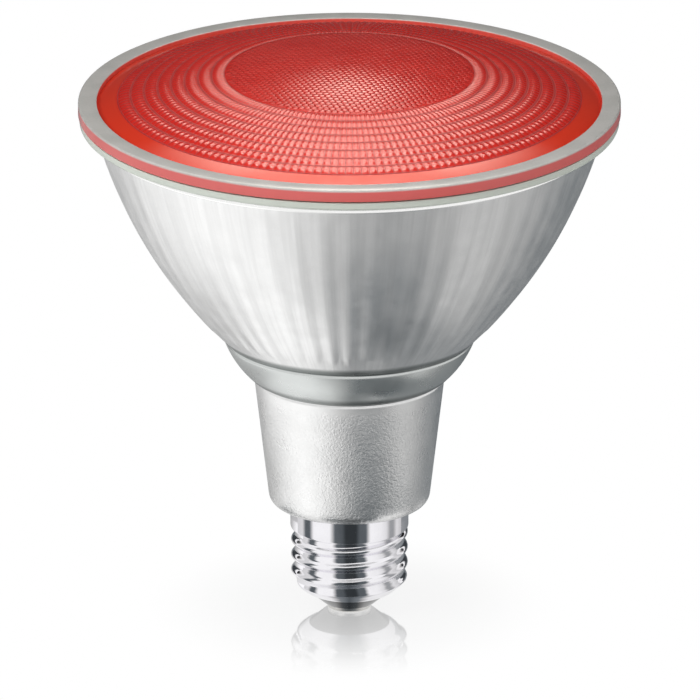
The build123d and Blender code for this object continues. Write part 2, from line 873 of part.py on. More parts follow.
# Choke: ferrite drum on the board's back with its winding between the flanges
with BuildPart() as choke_core:
    with BuildSketch(back_face):
        with Locations(raised(choke_place)):
            Circle(choke_radius)
    extrude(amount=choke_flange)
    with BuildSketch(back_face):
        with Locations(raised(choke_place)):
            Circle(choke_spool)
    extrude(amount=choke_length)
    with BuildSketch(back_face.offset(choke_length - choke_flange)):
        with Locations(raised(choke_place)):
            Circle(choke_radius)
    extrude(amount=choke_flange)
finish(choke_core, "choke_core")

with BuildPart() as choke_winding:
    with BuildSketch(back_face.offset(choke_flange)):
        with Locations(raised(choke_place)):
            Circle(choke_radius - choke_winding_inset)
            Circle(choke_spool, mode=Mode.SUBTRACT)
    extrude(amount=choke_length - 2 * choke_flange)
finish(choke_winding, "choke_winding")

# Fusible resistor: waisted body with two end caps, lying on the board's back
resistor_centre = (-resistor_place[0], board_back + resistor_radius, driver_foot + resistor_place[1])
with BuildPart() as fusible_resistor:
    with BuildSketch(Plane(origin=resistor_centre, x_dir=(1, 0, 0), z_dir=(0, -1, 0))):
        with BuildLine():
            cap_run = resistor_length / 2 - resistor_cap
            Polyline(
                (-resistor_length / 2, 0),
                (-resistor_length / 2, resistor_radius),
                (-cap_run, resistor_radius),
                (-cap_run, resistor_radius - resistor_waist),
                (cap_run, resistor_radius - resistor_waist),
                (cap_run, resistor_radius),
                (resistor_length / 2, resistor_radius),
                (resistor_length / 2, 0),
                close=True,
            )
        make_face()
    revolve(axis=Axis(resistor_centre, (1, 0, 0)))
finish(fusible_resistor, "fusible_resistor")

# Leads: mains leads from the board to the cap, light leads from the board to the connector
mains_face = board_front - mains_lead_radius
light_face = board_back + light_lead_radius
shell_touch = root_radius - sheet - mains_lead_radius
hole_x, hole_y = mains_lead_hole
neutral_route = (
    (-mains_lead_spread, mains_face, mains_joint_height),
    (-mains_lead_spread, mains_face, housing_floor_top + lead_bend),
    (-hole_x, hole_y, housing_base),
    (-hole_x, hole_y, neutral_turn_height),
    (-shell_touch, 0, neutral_wall_height),
    (-shell_touch, 0, neutral_end_height),
)
live_route = (
    (mains_lead_spread, mains_face, mains_joint_height),
    (mains_lead_spread, mains_face, housing_floor_top + lead_bend),
    (hole_x, hole_y, housing_base),
    (hole_x, hole_y, live_turn_height),
    (0, 0, live_centre_height),
    (0, 0, contact_thickness),
)


def light_route(side):
    """Route of a light lead on this side of the board's middle."""
    return (
        (side * light_lead_spread, light_face, light_joint_height),
        (side * light_lead_spread, light_face, light_turn_height),
        (side * light_lead_plug, plug_place, light_plug_height),
        (side * light_lead_plug, plug_place, board_top),
    )


leads = (
    ("neutral_lead", mains_lead_radius, neutral_route),
    ("live_lead", mains_lead_radius, live_route),
    ("positive_light_lead", light_lead_radius, light_route(1)),
    ("negative_light_lead", light_lead_radius, light_route(-1)),
)
for label, radius, route in leads:
    with BuildPart() as lead:
        with BuildLine() as path:
            FilletPolyline(*route, radius=lead_bend)
        with BuildSketch(Plane(origin=path.line @ 0, z_dir=path.line % 0)):
            Circle(radius)
        sweep()
    finish(lead, label)
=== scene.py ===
import json
from math import atan2, ceil, cos, pi, radians, sin, sqrt

import bpy
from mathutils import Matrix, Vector


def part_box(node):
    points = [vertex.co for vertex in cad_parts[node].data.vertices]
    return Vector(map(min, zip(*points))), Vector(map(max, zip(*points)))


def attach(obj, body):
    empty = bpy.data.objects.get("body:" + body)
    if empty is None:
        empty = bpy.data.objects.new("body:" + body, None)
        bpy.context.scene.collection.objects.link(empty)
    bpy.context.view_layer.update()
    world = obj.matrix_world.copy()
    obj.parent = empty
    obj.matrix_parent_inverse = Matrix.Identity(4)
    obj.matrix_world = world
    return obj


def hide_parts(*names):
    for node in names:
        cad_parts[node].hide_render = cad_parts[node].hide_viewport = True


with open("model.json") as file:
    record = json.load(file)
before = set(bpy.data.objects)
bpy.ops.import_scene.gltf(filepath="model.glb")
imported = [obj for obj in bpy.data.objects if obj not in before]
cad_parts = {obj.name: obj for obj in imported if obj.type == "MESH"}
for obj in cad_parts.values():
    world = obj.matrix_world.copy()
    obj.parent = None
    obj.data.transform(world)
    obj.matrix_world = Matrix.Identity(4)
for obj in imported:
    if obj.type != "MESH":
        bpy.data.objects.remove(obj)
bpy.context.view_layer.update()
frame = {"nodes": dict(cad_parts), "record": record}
nodes = frame["nodes"]

MM = 0.001
SAME_POINT = 1e-7
SHARP_EDGE = radians(40)

# Camera, far off behind a long lens, as the photograph's nearly parallel look asks
CAMERA_ELEVATION = radians(19.83)
CAMERA_DISTANCE = 5.0
SENSOR_WIDTH = 36.0
FRAME_WIDTH = 0.15662
AIM = Vector((0.00013, 0.0, 0.06088))

# Lens
lens_low, lens_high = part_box("front_lens")
LENS_RADIUS = lens_high.x
LENS_CROWN = lens_high.z
LENS_BOTTOM = lens_low.z
DOME_HEIGHT = 8.7 * MM
RIM_HEIGHT = LENS_CROWN - DOME_HEIGHT
RIM_WIDTH = 4.2 * MM
RIM_RECESS = 1.0 * MM
LENS_EDGE = 2.7 * MM
LENS_WALL = 2.6 * MM
LENS_FOOT = RIM_HEIGHT - LENS_EDGE
FACE_RADIUS = LENS_RADIUS - RIM_WIDTH
PLAIN_BAND = 4.5 * MM
RING_COUNT = 8
RING_PITCH = 3.0 * MM
RING_EDGE = FACE_RADIUS - PLAIN_BAND
FIELD_RADIUS = RING_EDGE - RING_COUNT * RING_PITCH
DOME_SAG = DOME_HEIGHT + RIM_RECESS
DOME_RADIUS = (FACE_RADIUS**2 + DOME_SAG**2) / (2 * DOME_SAG)
COLLAR_RADIUS = 53.2 * MM
COLLAR_WALL = 1.5 * MM
FOOT_ROUNDING = 0.08 * MM
RIM_ROUNDING = 0.5 * MM
FACE_ROUNDING = 0.3 * MM

# Cushions pressed into the lens: squares round the rings and a honeycomb in the middle
CUSHIONS_ROUND = 178
CUSHION_STEPS = 4
RING_STEPS = 5
RING_RELIEF = 0.13 * MM
CUSHION_RELIEF = 0.20 * MM
HONEYCOMB_RELIEF = 0.032 * MM
HONEYCOMB_PITCH = 1.4 * MM
HONEYCOMB_TURN = radians(-10)
HONEYCOMB_ROWS = 48
HONEYCOMB_MARGIN = 0.45
SEAM_GAP = 0.002 * MM
CUSHION_SIZES = {
    "Inner Radius": FIELD_RADIUS,
    "Outer Radius": RING_EDGE,
    "Ring Relief": RING_RELIEF,
    "Cushion Relief": CUSHION_RELIEF,
    "Honeycomb Pitch": HONEYCOMB_PITCH,
    "Honeycomb Relief": HONEYCOMB_RELIEF,
}

# Glass body
glass_low, glass_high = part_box("glass_body")
FLANGE_RADIUS = glass_high.x
FLANGE_TOP = glass_high.z
FLANGE_THICKNESS = 1.7 * MM
BEAD_RADIUS = LENS_RADIUS - 3.0 * MM
BEAD_HEIGHT = 2.0 * MM
GLASS_WALL = 3.0 * MM
BOWL_MOUTH = (LENS_RADIUS - 4.1 * MM, FLANGE_TOP - FLANGE_THICKNESS - BEAD_HEIGHT)
BOWL_FOOT = (28.4 * MM, 65.2 * MM)
BOWL_SAGITTA = 3.6 * MM
GROOVE_DEPTH = 0.7 * MM
GROOVE_WIDTH = 1.1 * MM
SHOULDER_FOOT = (22.2 * MM, 55.7 * MM)
SHOULDER_SAGITTA = 0.6 * MM
NECK_TOP = (21.3 * MM, SHOULDER_FOOT[1] - GROOVE_WIDTH)
NECK_BOTTOM = (17.85 * MM, 25.2 * MM)
NECK_ROUNDING = 2.3 * MM
SPIGOT_BORE = 9.6 * MM
SPIGOT_RADIUS = 12.2 * MM
SPIGOT_FOOT = glass_low.z
NECK_WALL = 2.4 * MM
NECK_FLOOR = 3.0 * MM
MOUTH_RADIUS = COLLAR_RADIUS + 0.3 * MM
SEAT_HEIGHT = BOWL_FOOT[1] + 1.8 * MM
SEAT_RADIUS = 22.8 * MM
CORNER_ROUNDING = 0.3 * MM
GROOVE_ROUNDING = 0.35 * MM
BEAD_ROUNDING = 0.15 * MM
FLANGE_ROUNDING = 0.5 * MM

# Flutes of the bowl: soft upright waves that end in rounded petals above the foot
FLUTE_COUNT = 56
FLUTE_STEPS = 12
FLUTE_RELIEF = 0.055 * MM
PETAL_RELIEF = 0.14 * MM
PETAL_FOOT = BOWL_FOOT[1] + 3.2 * MM
PETAL_HEIGHT = 2.2 * MM
PETAL_FADE = 14.0 * MM
PETAL_EDGE = 1.2 * MM
FLUTE_END = 4.0 * MM

# Screw cap
cap_low, cap_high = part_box("cap_shell")
SHEET = 0.35 * MM
LIP_RADIUS = cap_high.x
SKIRT_TOP = cap_high.z
SHELL_END = (9.0 * MM, cap_low.z)
SKIRT_RADIUS = 13.25 * MM
SKIRT_FOOT = NECK_BOTTOM[1] - 5.9 * MM
LIP_DROP = 0.7 * MM
ROOT_RADIUS = 12.05 * MM
ROLL_START = 8.0 * MM
THREAD_PITCH = 25.4 / 7 * MM
THREAD_DEPTH = 1.05 * MM
THREAD_WIDTH = 2.9 * MM
FIRST_CREST = 3.35 * MM
TURN_STEPS = 240
CURL_STEPS = 14
WALL_STEP = 0.22 * MM
THREAD_RISE = 3.0 * MM
THREAD_FALL = 0.8 * MM
THREAD_SIZES = {
    "Pitch": THREAD_PITCH,
    "Depth": THREAD_DEPTH,
    "Crest Width": THREAD_WIDTH,
    "First Crest": FIRST_CREST,
    "Thread Start": SHELL_END[1] + 0.6 * MM,
    "Thread End": SKIRT_FOOT - 0.3 * MM,
}

# Insulator and contact
insulator_low, insulator_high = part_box("cap_insulator")
contact_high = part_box("centre_contact")[1]
INSULATOR_FOOT = 5.7 * MM
CONTACT_RADIUS = contact_high.x
CONTACT_THICKNESS = insulator_low.z
CONTACT_ROUNDING = 0.35 * MM
STEM_RADIUS = 2.2 * MM
GLASS_GAP = 0.05 * MM
DISH_DEPTH = 2.4 * MM
DISH_RADIUS = 3.6 * MM
SOLDER_RADIUS = 3.1 * MM
SOLDER_HEIGHT = 0.5 * MM

# Looks of the pieces that are seen
JOINT_ROUGHNESS = 0.45
COAT_METAL = 0.96
RED_DEEP = (0.64, 0.026, 0.019)
RED_PALE = (0.70, 0.032, 0.023)
BAND_RED = (0.74, 0.044, 0.018, 1)
JOINT_RED = (0.34, 0.008, 0.008, 1)
EDGE_PINK = (0.80, 0.15, 0.14, 1)
RIM_DEEP = (0.53, 0.52, 0.49)
RIM_PALE = (0.60, 0.585, 0.555)
SILVER_DEEP = (0.78, 0.78, 0.775)
SILVER_PALE = (0.82, 0.82, 0.815)
STREAK_SILVER = (0.745, 0.745, 0.74, 1)
SHOULDER_SILVER = (0.60, 0.62, 0.61, 1)
# Painted shade for the dark lines above the body's grooves
GROOVE_SHADE_SILVER = (0.22, 0.235, 0.23, 1)
# Painted highlight for the bright line on the bead under the flange
BEAD_HIGHLIGHT_SILVER = (0.92, 0.92, 0.91, 1)
FLANGE_GLASS = (0.73, 0.78, 0.70, 1)
NICKEL_DEEP = (0.86, 0.85, 0.88)
NICKEL_PALE = (0.90, 0.89, 0.92)
WHITE = (1, 1, 1, 1)
BLACK = (0, 0, 0, 1)

# Plain finishes by slot: name, deep and pale tint, smoothest and roughest, and what else differs
PLAIN_FINISHES = {
    "black_glass": (
        "black_glass", (0.004, 0.004, 0.005), (0.008, 0.008, 0.010), (0.04, 0.08), {"ior": 2.2},
    ),
    "contact_metal": (
        "tinned_contact", (0.55, 0.54, 0.52), (0.68, 0.67, 0.65), (0.25, 0.4),
        {"metal": 1.0, "grain": 0.8 * MM},
    ),
    "silicone": ("clear_silicone", (0.24, 0.24, 0.22), (0.32, 0.32, 0.30), (0.4, 0.5)),
    "aluminium": (
        "drawn_aluminium", (0.66, 0.67, 0.68), (0.78, 0.79, 0.80), (0.28, 0.42),
        {"metal": 1.0, "grain": 0.6 * MM},
    ),
    "pad": ("thermal_pad_grey", (0.30, 0.32, 0.34), (0.38, 0.40, 0.42), (0.7, 0.85)),
    "light_package": ("package_yellow", (0.78, 0.62, 0.16), (0.85, 0.70, 0.22), (0.3, 0.45)),
    "steel": ("zinc_steel", (0.50, 0.51, 0.53), (0.62, 0.63, 0.65), (0.25, 0.4), {"metal": 1.0}),
    "white_plastic": ("white_nylon", (0.70, 0.70, 0.67), (0.78, 0.78, 0.75), (0.4, 0.55)),
    "film_box": ("film_box_yellow", (0.70, 0.44, 0.05), (0.78, 0.52, 0.08), (0.35, 0.5)),
    "varistor_coat": ("varistor_blue", (0.03, 0.09, 0.36), (0.05, 0.13, 0.45), (0.3, 0.45)),
    "ferrite": ("ferrite_grey", (0.030, 0.030, 0.033), (0.055, 0.055, 0.060), (0.5, 0.7)),
    "black_plastic": (
        "black_moulding", (0.012, 0.012, 0.013), (0.022, 0.022, 0.024), (0.35, 0.5),
    ),
    "can_sleeve": ("can_sleeve_black", (0.015, 0.015, 0.022), (0.03, 0.03, 0.042), (0.3, 0.4)),
    "resistor_coat": (
        "resistor_grey_blue", (0.16, 0.24, 0.32), (0.22, 0.31, 0.40), (0.4, 0.55),
    ),
    "red_sleeve": ("red_sleeve", (0.45, 0.02, 0.02), (0.55, 0.035, 0.03), (0.35, 0.5)),
    "black_sleeve": ("black_sleeve", (0.014, 0.014, 0.015), (0.026, 0.026, 0.028), (0.35, 0.5)),
    "white_sleeve": ("white_sleeve", (0.66, 0.66, 0.64), (0.76, 0.76, 0.74), (0.35, 0.5)),
    "cement": (
        "cap_cement_cream", (0.52, 0.47, 0.36), (0.62, 0.57, 0.45), (0.8, 0.95), {"depth": 0.05 * MM},
    ),
}

# World, and the floor with its shadow and mirror image
WORLD_STRENGTH = 0.35
FLOOR_SIDE = 8.0
FLOOR_WHITE = (0.72, 0.72, 0.72, 1)
FLOOR_SHADOW = 0.2
FLOOR_MIRROR = 0.42
MIRROR_START = 8 * MM
MIRROR_END = 48 * MM

# Soft lamps by name: azimuth, elevation, distance, size and power. Azimuth 0 is in front, 90 on the right
SOFTBOXES = {
    "key_left": (-55, 35, 0.9, (0.5, 0.5), 3.4),
    "fill_right": (70, 20, 1.2, (0.5, 0.8), 2.5),
    "lens_light": (0, 62, 0.185, (0.06, 0.05), 0.055),
}

# Ring cards that only mirrors see: where their section starts and ends as (radius, height), and their
# stops of (azimuth in degrees, brightness)
SLATE_TINT = (0.86, 0.99, 1.08, 1)
CARD_HEIGHT = 0.3 * MM
RING_CARDS = {
    "cap_card": (
        (21 * MM, CARD_HEIGHT),
        (21 * MM, 24.5 * MM),
        [
            (-90, 0.70), (-76, 0.75), (-69, 0.12), (-60, 0.12), (-53, 1.00), (-27, 1.00),
            (-20, 0.13), (-10, 0.10), (-5, 0.04), (9, 0.04), (14, 0.12), (23, 0.13), (29, 1.00),
            (45, 0.95), (55, 0.80), (62, 0.36), (69, 0.36), (77, 0.80), (90, 0.60),
        ],
    ),
    "foot_card": (
        (4 * MM, CARD_HEIGHT),
        (20.8 * MM, CARD_HEIGHT),
        [
            (-180, 0.60), (-60, 0.95), (-36, 0.90), (-18, 0.25), (0, 0.10), (18, 0.22),
            (38, 0.85), (60, 0.90), (180, 0.60),
        ],
    ),
    "near_card": (
        (21.5 * MM, CARD_HEIGHT),
        (58 * MM, CARD_HEIGHT),
        [
            (-180, 0.30), (-140, 0.55), (-115, 1.05), (-60, 1.30), (-30, 1.15), (-10, 0.60),
            (4, 0.26), (22, 0.13), (50, 0.12), (80, 0.26), (110, 0.34), (140, 0.26),
            (180, 0.20),
        ],
    ),
    "middle_card": (
        (58 * MM, CARD_HEIGHT),
        (100 * MM, CARD_HEIGHT),
        [
            (-180, 0.20), (-150, 0.45), (-112, 0.58), (-90, 0.85), (-74, 1.20), (-60, 1.30),
            (-36, 1.12), (-16, 0.60), (0, 0.30), (12, 0.20), (30, 0.22), (50, 0.34), (64, 0.74),
            (76, 0.74), (92, 0.40), (120, 0.28), (150, 0.26), (180, 0.15),
        ],
    ),
    "far_card": (
        (100 * MM, CARD_HEIGHT),
        (1300 * MM, CARD_HEIGHT),
        [
            (-180, 0.06), (-166, 0.10), (-150, 0.45), (-125, 0.60), (-108, 1.10), (-60, 1.30),
            (-36, 1.18), (-24, 0.95), (-12, 0.72), (0, 0.50), (12, 0.40), (36, 0.40),
            (50, 0.58), (62, 0.70), (78, 0.60), (96, 0.42), (120, 0.22), (150, 0.20),
            (166, 0.10), (180, 0.06),
        ],
    ),
}

# Cards behind the lamp that only mirrors see, with bands of (share of the height, brightness)
BACK_CARD_WIDTH = 2.4
BACK_CARD_DISTANCE = 0.35
BACK_CARD_FOOT = 0.17
BACK_CARD_TOP = 1.6
BACK_CARD_TINT = (0.92, 0.84, 0.74, 1)
BACK_CARD_BANDS = [
    (0.00, 0.03), (0.25, 0.05), (0.30, 6.0), (0.37, 8.0), (0.41, 3.4), (0.47, 3.4),
    (0.53, 11.0), (0.80, 11.5), (0.95, 0.5),
]
BAND_EDGE = 0.21
BACK_CARD_END = 0.46
END_FADE = 0.12
END_BRIGHTNESS = 0.9
GLOW_HEIGHT = 0.345
GLOW_RADIUS = 0.06
GLOW_BRIGHTNESS = 9.0
LOW_CARD_WIDTH = 3.0
LOW_CARD_DISTANCE = 1.2
LOW_CARD_TOP = 0.38
LOW_CARD_BRIGHTNESS = 0.05


def arc_points(start, end, sagitta, steps):
    """Points of the arc from start to end as (radius, height), bulging to the right of the way."""
    across, rise = end[0] - start[0], end[1] - start[1]
    chord = sqrt(across**2 + rise**2)
    radius = chord**2 / (8 * sagitta) + sagitta / 2
    back = (radius - sagitta) / chord
    centre_r = (start[0] + end[0]) / 2 - rise * back
    centre_z = (start[1] + end[1]) / 2 + across * back
    first = atan2(start[1] - centre_z, start[0] - centre_r)
    last = atan2(end[1] - centre_z, end[0] - centre_r)
    turn = (last - first + pi) % (2 * pi) - pi
    angles = [first + turn * step / steps for step in range(steps + 1)]
    return [(centre_r + radius * cos(a), centre_z + radius * sin(a)) for a in angles]


def rounded(before, corner, after, reach, steps=5):
    """Points that round a corner of an outline, from reach before it to reach after it."""
    points = []
    to_before = Vector(before) - Vector(corner)
    to_after = Vector(after) - Vector(corner)
    start = Vector(corner) + to_before.normalized() * reach
    end = Vector(corner) + to_after.normalized() * reach
    for step in range(steps + 1):
        share = step / steps
        low, high = start.lerp(Vector(corner), share), Vector(corner).lerp(end, share)
        points.append(tuple(low.lerp(high, share)))
    return points


def upright(radius, low, high, step):
    """Points up a straight wall, close enough to be shaped afterwards."""
    count = ceil((high - low) / step)
    return [(radius, low + (high - low) * i / count) for i in range(count + 1)]


def new_object(name, data):
    """New object in the scene, with this mesh, lamp or camera."""
    thing = bpy.data.objects.new(name, data)
    bpy.context.scene.collection.objects.link(thing)
    return thing


def new_piece(name, vertices, faces):
    """New object at the origin, with a mesh of these faces."""
    mesh = bpy.data.meshes.new(name)
    mesh.from_pydata(vertices, [], faces)
    return new_object(name, mesh)


def turned(name, outline, steps=192, relief=None):
    """Solid of revolution from a closed outline of (radius, height) points, listed anticlockwise."""
    steps_taken = zip(outline[-1:] + outline[:-1], outline)
    outline = [point for last, point in steps_taken if (Vector(point) - Vector(last)).length > SAME_POINT]
    vertices, faces, rows = [], [], []
    for radius, height in outline:
        if radius < SAME_POINT:
            rows.append([len(vertices)] * steps)
            vertices.append((0, 0, height))
            continue
        row = []
        for step in range(steps):
            angle = 2 * pi * step / steps
            reach = radius + (relief(height, angle) if relief else 0)
            row.append(len(vertices))
            vertices.append((reach * cos(angle), reach * sin(angle), height))
        rows.append(row)
    for low, high in zip(rows, rows[1:] + rows[:1]):
        for step in range(steps):
            after = (step + 1) % steps
            corners = (low[step], low[after], high[after], high[step])
            face = [c for i, c in enumerate(corners) if c != corners[i - 1]]
            if len(face) > 2:
                faces.append(face)
    piece = new_piece(name, vertices, faces)
    piece.data.validate()
    piece.data.shade_smooth()
    piece.data.set_sharp_from_angle(angle=SHARP_EDGE)
    return piece


# Node trees


class Tree:
    """Adds nodes to a node tree and links them in few words."""

    def __init__(self, tree):
        self.tree = tree

    def add(self, kind, inputs=(), **settings):
        """New node with these settings, its inputs set to values or linked to sockets."""
        node = self.tree.nodes.new(kind)
        for setting, value in settings.items():
            setattr(node, setting, value)
        for key, value in dict(inputs).items():
            self.feed(node.inputs[key], value)
        return node

    def feed(self, socket, value):
        """Links a socket to another, or sets its value."""
        if isinstance(value, bpy.types.NodeSocket):
            self.tree.links.new(value, socket)
        else:
            socket.default_value = value

    def math(self, operation, first, second=0.0, third=0.0):
        """Result of one step of arithmetic, in a shader or a geometry tree."""
        inputs = {0: first, 1: second, 2: third}
        return self.add("ShaderNodeMath", inputs, operation=operation).outputs[0]

    def product(self, first, second):
        """Product of two values."""
        return self.math("MULTIPLY", first, second)

    def axes(self, vector):
        """The axes X, Y and Z of a vector."""
        return self.add("ShaderNodeSeparateXYZ", {0: vector}).outputs

    def vector(self, **axes):
        """Vector made from its axes X, Y and Z."""
        return self.add("ShaderNodeCombineXYZ", axes).outputs[0]

    def place(self):
        """Object coordinates of the point that is shaded."""
        return self.add("ShaderNodeTexCoord").outputs["Object"]

    def smoothstep(self, value, low, high):
        """0 below low, 1 above high and a smooth rise between them."""
        inputs = {"Value": value, "From Min": low, "From Max": high}
        node = self.add("ShaderNodeMapRange", inputs, interpolation_type="SMOOTHSTEP")
        return node.outputs["Result"]

    def noise(self, vector, scale, detail, wander=0.0):
        """Noise from 0 to 1 over a vector."""
        inputs = {"Vector": vector, "Scale": scale, "Detail": detail, "Distortion": wander}
        return self.add("ShaderNodeTexNoise", inputs).outputs[0]

    def mix(self, mask, first, second):
        """First colour where the mask is 0 and second where it is 1."""
        node = self.add("ShaderNodeMix", {0: mask, 6: first, 7: second}, data_type="RGBA")
        return node.outputs[2]


def group_tree(name, kind, inputs, outputs):
    """Node group with named inputs and outputs, each as (name, socket kind, value)."""
    group = bpy.data.node_groups.new(name, kind)
    for label, socket_kind, value in inputs:
        socket = group.interface.new_socket(label, in_out="INPUT", socket_type=socket_kind)
        if value is not None:
            socket.default_value = value
    for label, socket_kind in outputs:
        group.interface.new_socket(label, in_out="OUTPUT", socket_type=socket_kind)
    tree = Tree(group)
    return tree, tree.add("NodeGroupInput"), tree.add("NodeGroupOutput")


def shaped(piece, group, sizes):
    """Runs a geometry group on a piece with these sizes, and keeps the result as a mesh."""
    modifier = piece.modifiers.new(group.name, "NODES")
    modifier.node_group = group
    for item in group.interface.items_tree:
        if item.item_type == "SOCKET" and item.in_out == "INPUT" and item.name in sizes:
            modifier[item.identifier] = sizes[item.name]
    evaluated = piece.evaluated_get(bpy.context.evaluated_depsgraph_get())
    mesh = bpy.data.meshes.new_from_object(evaluated)
    piece.modifiers.clear()
    piece.data = mesh


def finished_geometry(tree, geometry, material):
    """Real faces of one material, as every geometry group ends."""
    loose = tree.add("GeometryNodeRealizeInstances", {"Geometry": geometry}).outputs[0]
    return tree.add("GeometryNodeSetMaterial", {"Geometry": loose, "Material": material}).outputs[0]


def size_inputs(sizes):
    """Named number inputs for a group, from its sizes."""
    return [(label, "NodeSocketFloat", value) for label, value in sizes.items()]


# Front lens


def dome_at(radius, inset=0.0):
    """Height of the lens dome at this radius, on a surface inset from the outer one."""
    return RIM_HEIGHT + DOME_HEIGHT - DOME_RADIUS + sqrt((DOME_RADIUS - inset) ** 2 - radius**2)


def dome_points(first, last, steps, inset=0.0):
    """Points of the dome's section between two radii."""
    radii = [first + (last - first) * step / steps for step in range(steps + 1)]
    return [(radius, dome_at(radius, inset)) for radius in radii]


def dome_rule(tree, radius, inset):
    """The dome's height at a radius, as arithmetic in a geometry tree."""
    square = tree.product(radius, radius)
    reach = tree.math("SQRT", tree.math("SUBTRACT", DOME_RADIUS**2, square))
    return tree.math("ADD", reach, RIM_HEIGHT + DOME_HEIGHT - DOME_RADIUS - inset)


def pillow_rule(tree, value):
    """0 at whole numbers and 1 half-way between them, along a parabola."""
    centred = tree.math("MULTIPLY_ADD", tree.math("FRACT", value), 2.0, -1.0)
    return tree.math("SUBTRACT", 1.0, tree.product(centred, centred))


def radius_of(tree, axes):
    """Distance from the lamp's axis, from a separated position."""
    square_x = tree.product(axes["X"], axes["X"])
    return tree.math("SQRT", tree.math("MULTIPLY_ADD", axes["Y"], axes["Y"], square_x))


def ring_cushions(tree, given):
    """Band of concentric rings, each divided into square cushions, laid over the dome."""
    grid = tree.add(
        "GeometryNodeMeshGrid",
        {
            "Size X": 1.0,
            "Size Y": 1.0,
            "Vertices X": CUSHIONS_ROUND * CUSHION_STEPS + 1,
            "Vertices Y": RING_COUNT * RING_STEPS + 1,
        },
    )
    axes = tree.axes(tree.add("GeometryNodeInputPosition").outputs[0])
    turn = tree.math("ADD", axes["X"], 0.5)
    outward = tree.math("SUBTRACT", 0.5, axes["Y"])
    width = tree.math("SUBTRACT", given["Outer Radius"], given["Inner Radius"])
    radius = tree.math("MULTIPLY_ADD", outward, width, given["Inner Radius"])
    angle = tree.product(turn, 2 * pi)
    ring = pillow_rule(tree, tree.product(outward, RING_COUNT))
    cushion = pillow_rule(tree, tree.product(turn, CUSHIONS_ROUND))
    relief = tree.math("MULTIPLY_ADD", cushion, given["Cushion Relief"], given["Ring Relief"])
    height = tree.math("MULTIPLY_ADD", ring, relief, dome_rule(tree, radius, 0.0))
    place = tree.vector(
        X=tree.product(radius, tree.math("COSINE", angle)),
        Y=tree.product(radius, tree.math("SINE", angle)),
        Z=height,
    )
    laid = tree.add("GeometryNodeSetPosition", {"Geometry": grid.outputs["Mesh"], "Position": place})
    closed = tree.add("GeometryNodeMergeByDistance", {"Geometry": laid.outputs[0], "Distance": SEAM_GAP})
    return closed.outputs[0]


def honeycomb_cushions(tree, given):
    """Field of six-sided cushions in the middle of the lens, laid over the dome."""
    index = tree.add("GeometryNodeInputIndex").outputs[0]
    row = tree.math("FLOOR", tree.math("DIVIDE", index, HONEYCOMB_ROWS))
    column = tree.math("MODULO", index, HONEYCOMB_ROWS)
    shift = tree.product(tree.math("MODULO", row, 2.0), 0.5)
    across = tree.math("ADD", tree.math("SUBTRACT", column, HONEYCOMB_ROWS / 2), shift)
    along = tree.math("SUBTRACT", row, HONEYCOMB_ROWS / 2)
    flat = tree.vector(
        X=tree.product(across, given["Honeycomb Pitch"]),
        Y=tree.product(tree.product(along, given["Honeycomb Pitch"]), sqrt(3) / 2),
    )
    turned_by = {"Vector": flat, "Angle": HONEYCOMB_TURN}
    place = tree.add("ShaderNodeVectorRotate", turned_by, rotation_type="Z_AXIS")
    points = tree.add("GeometryNodePoints", {"Count": HONEYCOMB_ROWS**2, "Position": place.outputs[0]})
    axes = tree.axes(tree.add("GeometryNodeInputPosition").outputs[0])
    radius = radius_of(tree, axes)
    border = tree.math("MULTIPLY_ADD", given["Honeycomb Pitch"], -HONEYCOMB_MARGIN, given["Inner Radius"])
    outside = {"Geometry": points.outputs[0], "Selection": tree.math("GREATER_THAN", radius, border)}
    kept = tree.add("GeometryNodeDeleteGeometry", outside, domain="POINT")
    cell = tree.add("GeometryNodeMeshUVSphere", {"Segments": 6, "Rings": 4, "Radius": 1.0})
    reach = tree.math("DIVIDE", given["Honeycomb Pitch"], sqrt(3))
    size = tree.vector(X=reach, Y=reach, Z=given["Honeycomb Relief"])
    cells = tree.add(
        "GeometryNodeInstanceOnPoints",
        {
            "Points": kept.outputs[0],
            "Instance": cell.outputs["Mesh"],
            "Rotation": (0.0, 0.0, HONEYCOMB_TURN + pi / 6),
            "Scale": size,
        },
    )
    loose = tree.add("GeometryNodeRealizeInstances", {"Geometry": cells.outputs[0]})
    lift = tree.math("SUBTRACT", dome_rule(tree, radius, 0.0), given["Honeycomb Relief"])
    lifted = {"Geometry": loose.outputs[0], "Offset": tree.vector(Z=lift)}
    return tree.add("GeometryNodeSetPosition", lifted).outputs[0]


def lens_cushion_tree(material):
    """Geometry group that lays both kinds of pressed cushions over the turned lens."""
    tree, start, end = group_tree(
        "lens_cushions",
        "GeometryNodeTree",
        [("Lens", "NodeSocketGeometry", None)] + size_inputs(CUSHION_SIZES),
        [("Lens", "NodeSocketGeometry")],
    )
    given = start.outputs
    joined = tree.add("GeometryNodeJoinGeometry")
    tree.feed(joined.inputs[0], given["Lens"])
    for cushions in (ring_cushions(tree, given), honeycomb_cushions(tree, given)):
        smoothed = tree.add("GeometryNodeSetShadeSmooth", {"Geometry": cushions})
        tree.feed(joined.inputs[0], smoothed.outputs[0])
    tree.feed(end.inputs[0], finished_geometry(tree, joined.outputs[0], material))
    return tree.tree


